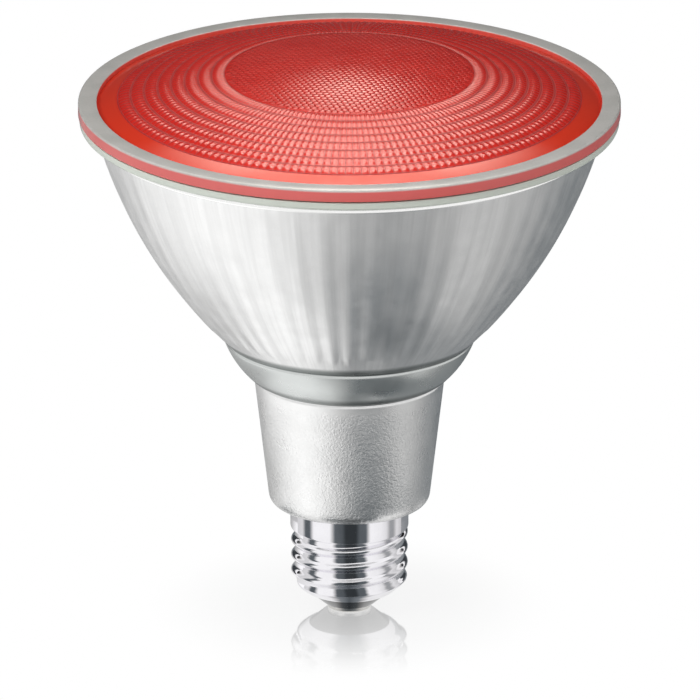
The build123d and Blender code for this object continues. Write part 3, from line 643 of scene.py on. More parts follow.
def make_lens(material):
    """Front lens: turned body with its rim and collar, and the cushions pressed into its face."""
    collar_bore = COLLAR_RADIUS - COLLAR_WALL
    face_edge = (FACE_RADIUS, dome_at(FACE_RADIUS))
    collar_foot = (COLLAR_RADIUS, LENS_FOOT)
    edge_foot = (LENS_RADIUS, LENS_FOOT)
    edge_top = (LENS_RADIUS, RIM_HEIGHT)
    rim_inside = (FACE_RADIUS, RIM_HEIGHT)
    outline = [(collar_bore, LENS_BOTTOM), (COLLAR_RADIUS, LENS_BOTTOM), collar_foot]
    outline += rounded(collar_foot, edge_foot, edge_top, FOOT_ROUNDING)
    outline += rounded(edge_foot, edge_top, rim_inside, RIM_ROUNDING)
    outline += rounded(edge_top, rim_inside, face_edge, FACE_ROUNDING)
    outline += dome_points(FACE_RADIUS, RING_EDGE, 6)
    outline += dome_points(RING_EDGE, FIELD_RADIUS, 8, RING_RELIEF)
    outline += dome_points(FIELD_RADIUS, 0, 10, HONEYCOMB_RELIEF)
    outline += dome_points(0, collar_bore, 10, LENS_WALL)
    lens = turned("lens", outline)
    shaped(lens, lens_cushion_tree(material), CUSHION_SIZES)
    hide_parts("front_lens")
    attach(lens, "root")


# Glass body


def flute_relief(height, angle):
    """How far the bowl's wall stands out at this height and angle: flutes with rounded petals."""
    if not PETAL_FOOT < height < BOWL_MOUTH[1]:
        return 0.0
    wave = cos(FLUTE_COUNT * angle)
    arch = PETAL_FOOT + PETAL_HEIGHT * (1 - abs(cos(FLUTE_COUNT * angle / 2)))
    start = min(1.0, max(0.0, (height - arch) / PETAL_EDGE))
    fade = min(1.0, max(0.0, 1 - (height - PETAL_FOOT) / PETAL_FADE))
    end = min(1.0, (BOWL_MOUTH[1] - height) / FLUTE_END)
    return start * end * (FLUTE_RELIEF * wave + PETAL_RELIEF * fade**2 * (wave + 1) / 2)


def make_glass_body(material):
    """Glass body: flange, bead, fluted bowl, grooves, shoulder, neck and spigot in one turned piece."""
    groove_top = (BOWL_FOOT[0] - GROOVE_DEPTH, BOWL_FOOT[1] - GROOVE_WIDTH / 2)
    shoulder_top = (BOWL_FOOT[0] - GROOVE_DEPTH / 2, BOWL_FOOT[1] - GROOVE_WIDTH)
    groove_low = (NECK_TOP[0] - GROOVE_DEPTH / 2, SHOULDER_FOOT[1] - GROOVE_WIDTH / 2)
    flange_foot = FLANGE_TOP - FLANGE_THICKNESS
    bead_foot = (BEAD_RADIUS, BOWL_MOUTH[1] + 0.2 * MM)
    bead_top = (BEAD_RADIUS - 0.36 * MM, BOWL_MOUTH[1] + 1.2 * MM)
    bead_neck = (BEAD_RADIUS - 1.0 * MM, BOWL_MOUTH[1] + 1.6 * MM)
    bowl = arc_points(BOWL_FOOT, BOWL_MOUTH, BOWL_SAGITTA, 56)
    shoulder = arc_points(SHOULDER_FOOT, shoulder_top, SHOULDER_SAGITTA, 10)
    flange_root = (bead_neck[0], flange_foot)
    flange_low = (FLANGE_RADIUS, flange_foot)
    flange_edge = (FLANGE_RADIUS, FLANGE_TOP)
    mouth = (MOUTH_RADIUS, FLANGE_TOP)
    spigot_top = (SPIGOT_RADIUS, NECK_BOTTOM[1])
    floor_top = NECK_BOTTOM[1] + NECK_FLOOR
    outline = [(SPIGOT_BORE, SPIGOT_FOOT), (SPIGOT_RADIUS, SPIGOT_FOOT), spigot_top]
    outline += rounded(spigot_top, NECK_BOTTOM, NECK_TOP, NECK_ROUNDING, 8)
    outline += rounded(NECK_BOTTOM, NECK_TOP, groove_low, CORNER_ROUNDING, 4)
    outline += rounded(NECK_TOP, groove_low, SHOULDER_FOOT, GROOVE_ROUNDING, 4)
    outline += rounded(groove_low, SHOULDER_FOOT, shoulder[1], CORNER_ROUNDING, 4)
    outline += shoulder[1:-1]
    outline += rounded(shoulder[-2], shoulder_top, groove_top, CORNER_ROUNDING, 4)
    outline += rounded(shoulder_top, groove_top, BOWL_FOOT, GROOVE_ROUNDING, 4)
    outline += rounded(groove_top, BOWL_FOOT, bowl[1], CORNER_ROUNDING, 4)
    outline += bowl[1:]
    outline += rounded(BOWL_MOUTH, bead_foot, bead_top, GROOVE_ROUNDING)
    outline += rounded(bead_foot, bead_top, bead_neck, BEAD_ROUNDING)
    outline += [bead_neck, flange_root]
    outline += rounded(flange_root, flange_low, flange_edge, FLANGE_ROUNDING)
    outline += rounded(flange_low, flange_edge, mouth, FOOT_ROUNDING)
    inside = [(r - GLASS_WALL, z) for r, z in bowl[4:-2:8]]
    outline += [mouth, (MOUTH_RADIUS, BOWL_MOUTH[1])] + inside[::-1]
    outline += [(SEAT_RADIUS, SEAT_HEIGHT), (NECK_TOP[0] - NECK_WALL, NECK_TOP[1])]
    outline += [(NECK_BOTTOM[0] - NECK_WALL, floor_top), (SPIGOT_BORE, floor_top)]
    body = turned("pressed_body", outline, FLUTE_COUNT * FLUTE_STEPS, flute_relief)
    body.data.materials.append(material)
    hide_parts("glass_body")
    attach(body, "root")


# Screw cap


def curl(inset):
    """Points of the shell's curled lower end, from the end up to the wall."""
    inward, drop = ROOT_RADIUS - SHELL_END[0], ROLL_START - SHELL_END[1]
    radius = (inward**2 + drop**2) / (2 * inward)
    centre = ROOT_RADIUS - radius
    first = -atan2(drop, SHELL_END[0] - centre)
    angles = [first * (1 - step / CURL_STEPS) for step in range(CURL_STEPS + 1)]
    reach = radius - inset
    return [(centre + reach * cos(angle), ROLL_START + reach * sin(angle)) for angle in angles]


def shell_wall(inset):
    """Points of one face of the shell, from the curled end up to the lip."""
    root, skirt = ROOT_RADIUS - inset, SKIRT_RADIUS - inset
    step_foot = SKIRT_FOOT - SHEET + inset
    lip_foot = SKIRT_TOP - LIP_DROP
    skirt_foot = (skirt, SKIRT_FOOT + inset)
    lip = (LIP_RADIUS - inset, SKIRT_TOP)
    points = curl(inset) + upright(root, ROLL_START, step_foot - 0.3 * MM, WALL_STEP)[1:]
    points += rounded((root, ROLL_START), (root, step_foot), skirt_foot, 0.25 * MM, 4)
    points += rounded((root, step_foot), skirt_foot, (skirt, lip_foot), 0.35 * MM, 4)
    points += rounded(skirt_foot, (skirt, lip_foot), lip, 0.4 * MM, 4)
    return points + [lip]


def thread_tree(material):
    """Geometry group that rolls a right-hand thread into the turned shell."""
    tree, start, end = group_tree(
        "rolled_thread",
        "GeometryNodeTree",
        [("Shell", "NodeSocketGeometry", None)] + size_inputs(THREAD_SIZES),
        [("Shell", "NodeSocketGeometry")],
    )
    given = start.outputs
    axes = tree.axes(tree.add("GeometryNodeInputPosition").outputs[0])
    radius = radius_of(tree, axes)
    turn = tree.math("DIVIDE", tree.math("ARCTAN2", axes["Y"], axes["X"]), 2 * pi)
    climb = tree.math("DIVIDE", tree.math("SUBTRACT", axes["Z"], given["First Crest"]), given["Pitch"])
    place = tree.math("FRACT", tree.math("ADD", tree.math("SUBTRACT", climb, turn), 0.5))
    away = tree.product(tree.math("ABSOLUTE", tree.math("SUBTRACT", place, 0.5)), given["Pitch"])
    half_crest = tree.product(given["Crest Width"], 0.5)
    share = tree.math("MINIMUM", tree.math("DIVIDE", away, half_crest), 1.0)
    crest = tree.math("MULTIPLY_ADD", tree.math("COSINE", tree.product(share, pi)), 0.5, 0.5)
    rise_end = tree.math("ADD", given["Thread Start"], THREAD_RISE)
    rise = tree.smoothstep(axes["Z"], given["Thread Start"], rise_end)
    fall_start = tree.math("SUBTRACT", given["Thread End"], THREAD_FALL)
    fall = tree.math("SUBTRACT", 1.0, tree.smoothstep(axes["Z"], fall_start, given["Thread End"]))
    depth = tree.product(tree.product(given["Depth"], crest), tree.product(rise, fall))
    scale = tree.math("DIVIDE", depth, radius)
    offset = tree.vector(X=tree.product(axes["X"], scale), Y=tree.product(axes["Y"], scale))
    rolled = tree.add("GeometryNodeSetPosition", {"Geometry": given["Shell"], "Offset": offset})
    tree.feed(end.inputs[0], finished_geometry(tree, rolled.outputs[0], material))
    return tree.tree


def make_cap(material):
    """Cap shell of thin rolled sheet, with its skirt, lip, thread and curled end."""
    shell = turned("screw_shell", shell_wall(0) + shell_wall(SHEET)[::-1], TURN_STEPS)
    shaped(shell, thread_tree(material), THREAD_SIZES)
    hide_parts("cap_shell")
    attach(shell, "root")


def make_insulator(material):
    """Black glass cone that is locked in the shell's curled end."""
    gap = SHEET + GLASS_GAP
    curled = curl(gap)
    shell_end = (curled[0][0], SHELL_END[1])
    top = insulator_high.z
    wall = ROOT_RADIUS - gap
    bore = STEM_RADIUS + GLASS_GAP
    dish = top - DISH_DEPTH
    outline = [(bore, CONTACT_THICKNESS)]
    outline += rounded(outline[0], (INSULATOR_FOOT, CONTACT_THICKNESS), shell_end, 0.4 * MM)
    outline += [shell_end] + curled
    outline += [(wall, top), (wall - 1.5 * MM, top), (DISH_RADIUS, dish), (bore, dish)]
    insulator = turned("insulator_cone", outline)
    insulator.data.materials.append(material)
    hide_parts("cap_insulator")
    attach(insulator, "root")


def make_contact(material):
    """Centre contact: a button with a soldered stem."""
    dish = insulator_high.z - DISH_DEPTH
    solder = dish + SOLDER_HEIGHT
    button_top = (CONTACT_RADIUS, CONTACT_THICKNESS)
    outline = [(0, 0)] + rounded((0, 0), (CONTACT_RADIUS, 0), button_top, CONTACT_ROUNDING)
    outline += [button_top, (STEM_RADIUS, CONTACT_THICKNESS), (STEM_RADIUS, dish)]
    outline += [(SOLDER_RADIUS, dish), (SOLDER_RADIUS, solder), (0, solder)]
    contact = turned("contact_button", outline, 96)
    contact.data.materials.append(material)
    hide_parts("centre_contact")
    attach(contact, "root")


# Shared effects


def uneven_gloss_group():
    """Roughness that drifts between two values over patches of one size."""
    tree, start, end = group_tree(
        "uneven_gloss",
        "ShaderNodeTree",
        [
            ("Patch Size", "NodeSocketFloat", 6 * MM),
            ("Smoothest", "NodeSocketFloat", 0.2),
            ("Roughest", "NodeSocketFloat", 0.4),
        ],
        [("Roughness", "NodeSocketFloat")],
    )
    scale = tree.math("DIVIDE", 1.0, start.outputs["Patch Size"])
    span = tree.math("SUBTRACT", start.outputs["Roughest"], start.outputs["Smoothest"])
    spread = tree.smoothstep(tree.noise(tree.place(), scale, 4.0), 0.3, 0.7)
    tree.feed(end.inputs[0], tree.math("MULTIPLY_ADD", spread, span, start.outputs["Smoothest"]))
    return tree.tree


def mottled_tint_group():
    """Colour that drifts between two tints, with fine specks in it."""
    tree, start, end = group_tree(
        "mottled_tint",
        "ShaderNodeTree",
        [
            ("Deep", "NodeSocketColor", (0.5, 0.5, 0.5, 1)),
            ("Pale", "NodeSocketColor", (0.6, 0.6, 0.6, 1)),
            ("Patch Size", "NodeSocketFloat", 5 * MM),
        ],
        [("Color", "NodeSocketColor")],
    )
    place = tree.place()
    scale = tree.math("DIVIDE", 1.0, start.outputs["Patch Size"])
    broad = tree.noise(place, scale, 3.0)
    fine = tree.noise(place, tree.product(scale, 14.0), 2.0)
    mixed = tree.math("MULTIPLY_ADD", fine, 0.35, tree.product(broad, 0.65))
    mask = tree.smoothstep(mixed, 0.35, 0.65)
    tree.feed(end.inputs[0], tree.mix(mask, start.outputs["Deep"], start.outputs["Pale"]))
    return tree.tree


def grain_relief_group():
    """Height of a fine grain, as on moulded, sand-cast or orange-peel surfaces."""
    tree, start, end = group_tree(
        "grain_relief",
        "ShaderNodeTree",
        [("Grain Size", "NodeSocketFloat", 0.5 * MM), ("Wander", "NodeSocketFloat", 0.2)],
        [("Height", "NodeSocketFloat")],
    )
    scale = tree.math("DIVIDE", 1.0, start.outputs["Grain Size"])
    tree.feed(end.inputs[0], tree.noise(tree.place(), scale, 2.0, start.outputs["Wander"]))
    return tree.tree


def axis_place_group():
    """Distance from the lamp's axis, share of a turn round it and height, for turned patterns."""
    tree, _, end = group_tree(
        "axis_place",
        "ShaderNodeTree",
        [],
        [("Radius", "NodeSocketFloat"), ("Turn", "NodeSocketFloat"), ("Height", "NodeSocketFloat")],
    )
    axes = tree.axes(tree.place())
    tree.feed(end.inputs["Radius"], radius_of(tree, axes))
    turn = tree.math("DIVIDE", tree.math("ARCTAN2", axes["Y"], axes["X"]), 2 * pi)
    tree.feed(end.inputs["Turn"], turn)
    tree.feed(end.inputs["Height"], axes["Z"])
    return tree.tree


UNEVEN_GLOSS = uneven_gloss_group()
MOTTLED_TINT = mottled_tint_group()
GRAIN_RELIEF = grain_relief_group()
AXIS_PLACE = axis_place_group()


# Materials


def new_material(name):
    """Empty node material, as its tree and its Principled shader."""
    material = bpy.data.materials.new(name)
    material.use_nodes = True
    tree = Tree(material.node_tree)
    return material, tree, material.node_tree.nodes["Principled BSDF"]


def placed_group(tree, group, values=()):
    """A shared effect, placed in a material with its own values."""
    node = tree.add("ShaderNodeGroup", node_tree=group)
    for label, value in dict(values).items():
        tree.feed(node.inputs[label], value)
    return node.outputs


def mottled(tree, deep, pale, patch):
    """Colour that drifts between two tints over patches of this size."""
    values = {"Deep": (*deep, 1), "Pale": (*pale, 1), "Patch Size": patch}
    return placed_group(tree, MOTTLED_TINT, values)["Color"]


def uneven(tree, smoothest, roughest, patch):
    """Roughness that drifts between two values over patches of this size."""
    values = {"Smoothest": smoothest, "Roughest": roughest, "Patch Size": patch}
    return placed_group(tree, UNEVEN_GLOSS, values)["Roughness"]


def grained(tree, size, wander=0.2):
    """Height of a fine grain of this size."""
    return placed_group(tree, GRAIN_RELIEF, {"Grain Size": size, "Wander": wander})["Height"]


def bumped(tree, shader, height, depth, strength):
    """Feeds a height to the shader's normal, as a relief of this depth."""
    bump = tree.add("ShaderNodeBump", {"Height": height, "Distance": depth, "Strength": strength})
    tree.feed(shader.inputs["Normal"], bump.outputs[0])


def finish(tree, shader, colour, roughness, metal=0.0):
    """Feeds the shader's colour, roughness and metal."""
    tree.feed(shader.inputs["Base Color"], colour)
    tree.feed(shader.inputs["Roughness"], roughness)
    tree.feed(shader.inputs["Metallic"], metal)


def lens_material():
    """Red glass face with a clear grey rim, and a pink edge where the tint shows through."""
    material, tree, shader = new_material("red_lens_glass")
    place = placed_group(tree, AXIS_PLACE)
    radius, turn, height = place["Radius"], place["Turn"], place["Height"]
    ring = tree.math("DIVIDE", tree.math("SUBTRACT", radius, FIELD_RADIUS), RING_PITCH)
    ring_line = tree.math("ABSOLUTE", tree.math("MULTIPLY_ADD", tree.math("FRACT", ring), 2.0, -1.0))
    cushion = tree.math("FRACT", tree.product(turn, CUSHIONS_ROUND))
    cushion_line = tree.math("ABSOLUTE", tree.math("MULTIPLY_ADD", cushion, 2.0, -1.0))
    outside_field = tree.math("GREATER_THAN", radius, FIELD_RADIUS)
    in_rings = tree.product(outside_field, tree.math("LESS_THAN", radius, RING_EDGE))
    # Darker red in the grooves between rings and the joints between cushions: partly the thicker red glass
    # there, partly painted shade.
    groove = tree.product(tree.smoothstep(ring_line, 0.66, 0.98), in_rings)
    joint = tree.product(tree.smoothstep(cushion_line, 0.7, 1.0), in_rings)
    dark = tree.math("MAXIMUM", tree.product(joint, 0.75), groove)
    band = tree.smoothstep(radius, RING_EDGE - 0.4 * MM, RING_EDGE + 0.6 * MM)
    face = tree.mix(band, mottled(tree, RED_DEEP, RED_PALE, 9 * MM), BAND_RED)
    face = tree.mix(dark, face, JOINT_RED)
    rim = tree.smoothstep(radius, FACE_RADIUS - 0.05 * MM, FACE_RADIUS + 0.15 * MM)
    low = tree.smoothstep(height, RIM_HEIGHT - 0.2 * MM, RIM_HEIGHT - 0.7 * MM)
    outer = tree.smoothstep(radius, LENS_RADIUS - 1.2 * MM, LENS_RADIUS - 0.2 * MM)
    colour = tree.mix(rim, face, mottled(tree, RIM_DEEP, RIM_PALE, 7 * MM))
    colour = tree.mix(tree.product(outer, low), colour, EDGE_PINK)
    gloss = uneven(tree, 0.10, 0.15, 4 * MM)
    finish(tree, shader, colour, tree.math("MULTIPLY_ADD", dark, JOINT_ROUGHNESS, gloss))
    shader.inputs["Specular IOR Level"].default_value = 0.45
    bumped(tree, shader, grained(tree, 0.9 * MM), 0.01 * MM, 0.4)
    return material


def groove_shade(tree, height, edge):
    """Mask of the painted shade: a dark line where the wall above a groove turns into it."""
    above = tree.smoothstep(height, edge + 2.1 * MM, edge + 0.4 * MM)
    below = tree.smoothstep(height, edge - 0.75 * MM, edge - 0.45 * MM)
    return tree.product(above, below)


def silvered_material():
    """Mirror coat behind pressed glass: streaked on the bowl, grained on the neck, bare on the flange."""
    material, tree, shader = new_material("silvered_glass")
    place = placed_group(tree, AXIS_PLACE)
    height, turn = place["Height"], place["Turn"]
    angle = tree.product(turn, 2 * pi)
    across, along = tree.math("COSINE", angle), tree.math("SINE", angle)
    around = tree.vector(X=across, Y=along, Z=tree.product(height, 0.7))
    streak = tree.noise(around, 38.0, 3.0)
    neck = tree.smoothstep(height, NECK_TOP[1] - 0.4 * MM, NECK_TOP[1] - 3.0 * MM)
    bowl = tree.smoothstep(height, BOWL_FOOT[1], BOWL_FOOT[1] + 2 * MM)
    flange_foot = FLANGE_TOP - FLANGE_THICKNESS
    flange = tree.smoothstep(height, flange_foot - 0.2 * MM, flange_foot)
    silver = mottled(tree, SILVER_DEEP, SILVER_PALE, 4 * MM)
    streaked = tree.product(bowl, tree.smoothstep(streak, 0.38, 0.66))
    silver = tree.mix(streaked, silver, STREAK_SILVER)
    above = tree.smoothstep(height, NECK_TOP[1], SHOULDER_FOOT[1] + 1.5 * MM)
    shoulder = tree.product(above, tree.math("SUBTRACT", 1.0, bowl))
    silver = tree.mix(shoulder, silver, SHOULDER_SILVER)
    # Painted shade: dark lines above both grooves, standing in for their shadow and dark reflection.
    upper_groove_shade = groove_shade(tree, height, BOWL_FOOT[1])
    lower_groove_shade = groove_shade(tree, height, SHOULDER_FOOT[1])
    silver = tree.mix(tree.math("MAXIMUM", upper_groove_shade, lower_groove_shade), silver, GROOVE_SHADE_SILVER)
    # Painted highlight: paler silver on the bead under the flange, for its bright line.
    bead = tree.smoothstep(height, BOWL_MOUTH[1], BOWL_MOUTH[1] + 0.3 * MM)
    silver = tree.mix(bead, silver, BEAD_HIGHLIGHT_SILVER)
    colour = tree.mix(flange, silver, FLANGE_GLASS)
    metal = tree.math("MULTIPLY_ADD", flange, -COAT_METAL, COAT_METAL)
    streaks = tree.product(bowl, streak)
    roughness = tree.math("MULTIPLY_ADD", streaks, 0.12, uneven(tree, 0.26, 0.36, 5 * MM))
    roughness = tree.product(roughness, tree.math("MULTIPLY_ADD", bead, -0.6, 1.0))
    finish(tree, shader, colour, roughness, metal)
    grain_depth = tree.math("MULTIPLY_ADD", neck, 1.4, 0.06)
    grain = grained(tree, 0.55 * MM, 0.6)
    relief = tree.math("MULTIPLY_ADD", grain, grain_depth, tree.product(streaks, 0.2))
    bumped(tree, shader, relief, 0.10 * MM, 0.9)
    return material


def nickel_material():
    """Bright nickel plate with faint handling marks."""
    material, tree, shader = new_material("bright_nickel")
    tint = mottled(tree, NICKEL_DEEP, NICKEL_PALE, 3 * MM)
    finish(tree, shader, tint, uneven(tree, 0.05, 0.12, 3 * MM), 1.0)
    bumped(tree, shader, grained(tree, 2.2 * MM), 0.02 * MM, 0.5)
    return material


def plain_material(name, deep, pale, gloss, metal=0.0, grain=0.4 * MM, depth=0.01 * MM, ior=1.5):
    """Finish of one tint, gloss and grain, for the pieces inside and the smaller ones outside."""
    material, tree, shader = new_material(name)
    tint = mottled(tree, deep, pale, 8 * grain)
    finish(tree, shader, tint, uneven(tree, *gloss, 10 * grain), metal)
    shader.inputs["IOR"].default_value = ior
    bumped(tree, shader, grained(tree, grain), depth, 0.6)
    return material


def board_material(name, mask_tint, copper_tint):
    """Circuit laminate with pale pads and fine tracks under its mask."""
    material, tree, shader = new_material(name)
    pattern = {"Vector": tree.place(), "Scale": 1 / (2.6 * MM), "Mortar Size": 0.06}
    pattern.update({"Color1": BLACK, "Color2": BLACK, "Mortar": WHITE})
    tracks = tree.add("ShaderNodeTexBrick", pattern).outputs["Color"]
    mask = mottled(tree, mask_tint, [1.12 * level for level in mask_tint], 5 * MM)
    colour = tree.mix(tracks, mask, (*copper_tint, 1))
    finish(tree, shader, colour, uneven(tree, 0.3, 0.45, 4 * MM))
    bumped(tree, shader, tracks, 0.03 * MM, 0.5)
    return material


def wound_material(name, deep, pale, pitch):
    """Enamelled wire wound in close turns, as fine bands up the coil."""
    material, tree, shader = new_material(name)
    axes = tree.axes(tree.place())
    turn = tree.math("SINE", tree.product(axes["Z"], 2 * pi / pitch))
    band = tree.math("MULTIPLY_ADD", turn, 0.5, 0.5)
    colour = tree.mix(band, (*deep, 1), mottled(tree, deep, pale, 1.5 * MM))
    finish(tree, shader, colour, uneven(tree, 0.25, 0.4, 2 * MM), 0.7)
    bumped(tree, shader, band, 0.08 * MM, 0.8)
    return material


def make_finishes():
    """Every finish of the lamp, by the record's slot."""
    finishes = {
        "red_lens": lens_material(),
        "silvered_glass": silvered_material(),
        "nickel": nickel_material(),
        "white_board": board_material("white_board_mask", (0.72, 0.73, 0.71), (0.80, 0.80, 0.76)),
        "driver_laminate": board_material("green_board_mask", (0.02, 0.16, 0.06), (0.10, 0.30, 0.12)),
        "copper": wound_material("enamelled_copper", (0.36, 0.12, 0.04), (0.62, 0.24, 0.09), 0.35 * MM),
    }
    for slot, (name, deep, pale, gloss, *extras) in PLAIN_FINISHES.items():
        finishes[slot] = plain_material(name, deep, pale, gloss, **dict(*extras))
    return finishes


# Stage: camera, light, floor and cards


def aim(thing, azimuth, elevation, distance):
    """Turns a camera or lamp to the object. Azimuth 0 is in front and 90 degrees on the right."""
    across = cos(elevation)
    away = Vector((sin(azimuth) * across, -cos(azimuth) * across, sin(elevation)))
    thing.location = AIM + distance * away
    thing.rotation_euler = away.to_track_quat("Z", "Y").to_euler()


def add_camera():
    """Camera in front of the lamp, level with the photograph's view onto the lens."""
    data = bpy.data.cameras.new("lamp_camera")
    data.sensor_width = SENSOR_WIDTH
    data.lens = SENSOR_WIDTH * CAMERA_DISTANCE / FRAME_WIDTH
    data.clip_end = 2 * CAMERA_DISTANCE
    camera = new_object("lamp_camera", data)
    aim(camera, 0, CAMERA_ELEVATION, CAMERA_DISTANCE)
    bpy.context.scene.camera = camera


def seen_directly(tree):
    """1 for rays from the camera, from mirrors and through glass, and 0 for light on the object."""
    path = tree.add("ShaderNodeLightPath").outputs
    seen = tree.math("MAXIMUM", path["Is Camera Ray"], path["Is Glossy Ray"])
    return tree.math("MAXIMUM", seen, path["Is Transmission Ray"])


def add_world():
    """Soft even surroundings, which the camera and mirrors see as plain white."""
    world = bpy.data.worlds.new("studio")
    world.use_nodes = True
    tree = Tree(world.node_tree)
    background = world.node_tree.nodes["Background"]
    tree.feed(background.inputs["Color"], WHITE)
    strength = tree.math("MULTIPLY_ADD", seen_directly(tree), 1.0 - WORLD_STRENGTH, WORLD_STRENGTH)
    tree.feed(background.inputs["Strength"], strength)
    bpy.context.scene.world = world


def floor_material():
    """White floor with a soft mirror image of the lamp that fades away from its foot, clear from below."""
    material, tree, shader = new_material("studio_floor")
    finish(tree, shader, FLOOR_WHITE, 0.9)
    glow = tree.add("ShaderNodeEmission", {"Color": WHITE, "Strength": 1.0})
    mirror = tree.add("ShaderNodeBsdfGlossy", {"Color": WHITE, "Roughness": 0.06})
    place = placed_group(tree, AXIS_PLACE)
    near = tree.smoothstep(place["Radius"], MIRROR_END, MIRROR_START)
    path = tree.add("ShaderNodeLightPath").outputs
    share = tree.math("MULTIPLY_ADD", near, -FLOOR_SHADOW, 1.0)
    lit = tree.add("ShaderNodeMixShader", {0: tree.product(seen_directly(tree), share)})
    tree.feed(lit.inputs[1], shader.outputs[0])
    tree.feed(lit.inputs[2], glow.outputs[0])
    polish = tree.product(tree.product(path["Is Camera Ray"], near), FLOOR_MIRROR)
    polished = tree.add("ShaderNodeMixShader", {0: polish, 1: lit.outputs[0], 2: mirror.outputs[0]})
    show_one_side(tree, polished)
    return material


def show_one_side(tree, shader):
    """Ends a material that shows this shader on its front and is clear from behind."""
    clear = tree.add("ShaderNodeBsdfTransparent")
    back = tree.add("ShaderNodeNewGeometry").outputs["Backfacing"]
    sided = tree.add("ShaderNodeMixShader", {0: back, 1: shader.outputs[0], 2: clear.outputs[0]})
    tree.feed(tree.tree.nodes["Material Output"].inputs["Surface"], sided.outputs[0])


def flat_sheet(name, corners, material):
    """Flat four-cornered stage piece."""
    sheet = new_piece(name, corners, [(0, 1, 2, 3)])
    sheet.data.materials.append(material)
    return sheet


def add_floor():
    """Floor under the lamp, at the contact's lowest point."""
    far = FLOOR_SIDE / 2
    flat_sheet("floor", [(-far, -far, 0), (far, -far, 0), (far, far, 0), (-far, far, 0)], floor_material())


def brightness_ramp(tree, value, stops):
    """Brightness read off a line of (place, brightness) stops, with places from 0 to 1."""
    highest = max(level for _, level in stops)
    ramp = tree.add("ShaderNodeValToRGB", {0: value})
    elements = ramp.color_ramp.elements
    for index, (place, level) in enumerate(stops):
        element = elements[index] if index < 2 else elements.new(place)
        element.position = place
        element.color = (level / highest, level / highest, level / highest, 1)
    return tree.product(ramp.outputs[0], highest)


def card_output(material, tree, shader, brightness, bright_tint=WHITE):
    """Ends a card's material: it glows on its upper or inner side and is clear from the other."""
    tint = tree.mix(tree.smoothstep(brightness, 0.02, 0.5), SLATE_TINT, bright_tint)
    show_one_side(tree, tree.add("ShaderNodeEmission", {"Color": tint, "Strength": brightness}))
    material.node_tree.nodes.remove(shader)
    return material


def ring_card_material(name, stops):
    """Card whose brightness changes round the lamp, by azimuth from -180 to 180 degrees."""
    material, tree, shader = new_material(name)
    axes = tree.axes(tree.place())
    azimuth = tree.math("ARCTAN2", axes["X"], tree.product(axes["Y"], -1.0))
    share = tree.math("MULTIPLY_ADD", azimuth, 0.5 / pi, 0.5)
    shares = [(0.5 + angle / 360, level) for angle, level in stops]
    return card_output(material, tree, shader, brightness_ramp(tree, share, shares))


def back_card_material():
    """Card behind the lamp that the lens mirrors: dark low down, with a glow and a band above it."""
    material, tree, shader = new_material("back_card")
    axes = tree.axes(tree.place())
    band = brightness_ramp(tree, tree.math("DIVIDE", axes["Z"], BACK_CARD_TOP), BACK_CARD_BANDS)
    aside = tree.math("ABSOLUTE", axes["X"])
    band = tree.product(band, tree.smoothstep(aside, BAND_EDGE, BAND_EDGE / 2))
    end = tree.smoothstep(aside, BACK_CARD_END - END_FADE, BACK_CARD_END)
    band = tree.math("MAXIMUM", band, tree.product(end, END_BRIGHTNESS))
    rise = tree.math("SUBTRACT", axes["Z"], GLOW_HEIGHT)
    square = tree.math("MULTIPLY_ADD", rise, rise, tree.product(axes["X"], axes["X"]))
    glow = tree.smoothstep(tree.math("SQRT", square), GLOW_RADIUS, 0.0)
    brightness = tree.math("MULTIPLY_ADD", glow, GLOW_BRIGHTNESS, band)
    tint = tree.mix(end, BACK_CARD_TINT, WHITE)
    return card_output(material, tree, shader, brightness, tint)


def only_in_mirrors(card):
    """Keeps a card out of the picture and out of the light, so that only reflections show it."""
    card.visible_camera = False
    card.visible_diffuse = False
    card.visible_shadow = False
    card.visible_transmission = False


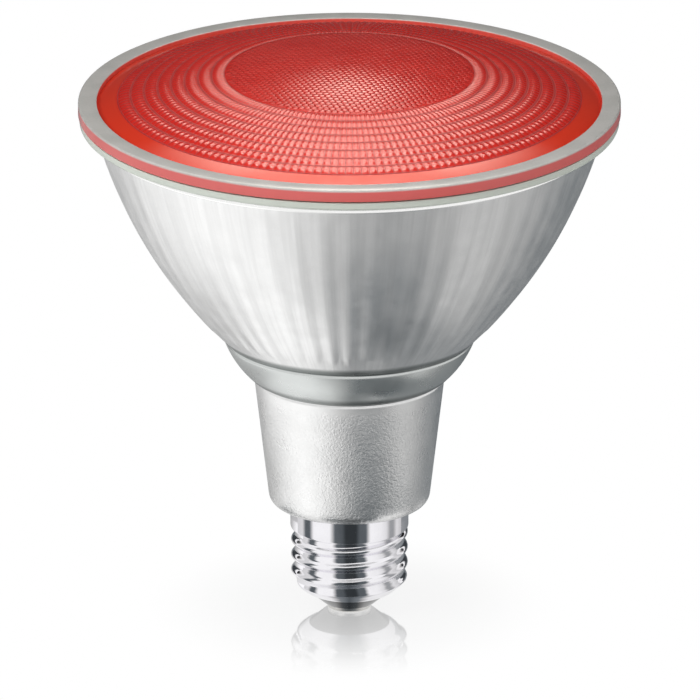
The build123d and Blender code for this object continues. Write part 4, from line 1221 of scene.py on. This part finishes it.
def add_ring_card(name, first, last, stops):
    """Ring round the lamp from its first stop to its last, swept from one (radius, height) to another."""
    start, end = stops[0][0], stops[-1][0]
    count = ceil((end - start) / 5)
    vertices, faces = [], []
    for step in range(count + 1):
        angle = radians(start + (end - start) * step / count)
        for radius, height in (first, last):
            vertices.append((radius * sin(angle), -radius * cos(angle), height))
    for near in range(0, 2 * count, 2):
        faces.append((near, near + 1, near + 3, near + 2))
    card = new_piece(name, vertices, faces)
    card.data.materials.append(ring_card_material(name, stops))
    only_in_mirrors(card)


def add_upright_card(name, width, away, low, high, material):
    """Upright card behind the lamp, clear of what the floor mirrors in the picture."""
    half = width / 2
    corners = [(-half, away, low), (half, away, low), (half, away, high), (-half, away, high)]
    only_in_mirrors(flat_sheet(name, corners, material))


def add_back_cards():
    """The card that the lens mirrors, and a dark one far behind it."""
    bands = back_card_material()
    add_upright_card(
        "back_card", BACK_CARD_WIDTH, BACK_CARD_DISTANCE, BACK_CARD_FOOT, BACK_CARD_TOP, bands
    )
    stops = [(-180, LOW_CARD_BRIGHTNESS), (180, LOW_CARD_BRIGHTNESS)]
    dark = ring_card_material("low_card", stops)
    add_upright_card("low_card", LOW_CARD_WIDTH, LOW_CARD_DISTANCE, 0, LOW_CARD_TOP, dark)


def add_softbox(name, azimuth, elevation, distance, size, power):
    """Soft square lamp that faces the object and isn't mirrored in it."""
    data = bpy.data.lights.new(name, "AREA")
    data.shape = "RECTANGLE"
    data.size, data.size_y = size
    data.energy = power
    lamp = new_object(name, data)
    aim(lamp, radians(azimuth), radians(elevation), distance)
    lamp.visible_glossy = False


# The scene

finishes = make_finishes()
for subpart in frame["record"]["subparts"]:
    node = nodes[subpart["node"]]
    node.data.materials.clear()
    node.data.materials.append(finishes[subpart["material_slot"]])
make_lens(finishes["red_lens"])
make_glass_body(finishes["silvered_glass"])
make_cap(finishes["nickel"])
make_insulator(finishes["black_glass"])
make_contact(finishes["contact_metal"])
add_camera()
add_world()
add_floor()
for card_name, (card_start, card_end, card_stops) in RING_CARDS.items():
    add_ring_card(card_name, card_start, card_end, card_stops)
add_back_cards()
for lamp_name, lamp in SOFTBOXES.items():
    add_softbox(lamp_name, *lamp)
bpy.context.scene.view_settings.view_transform = "Standard"
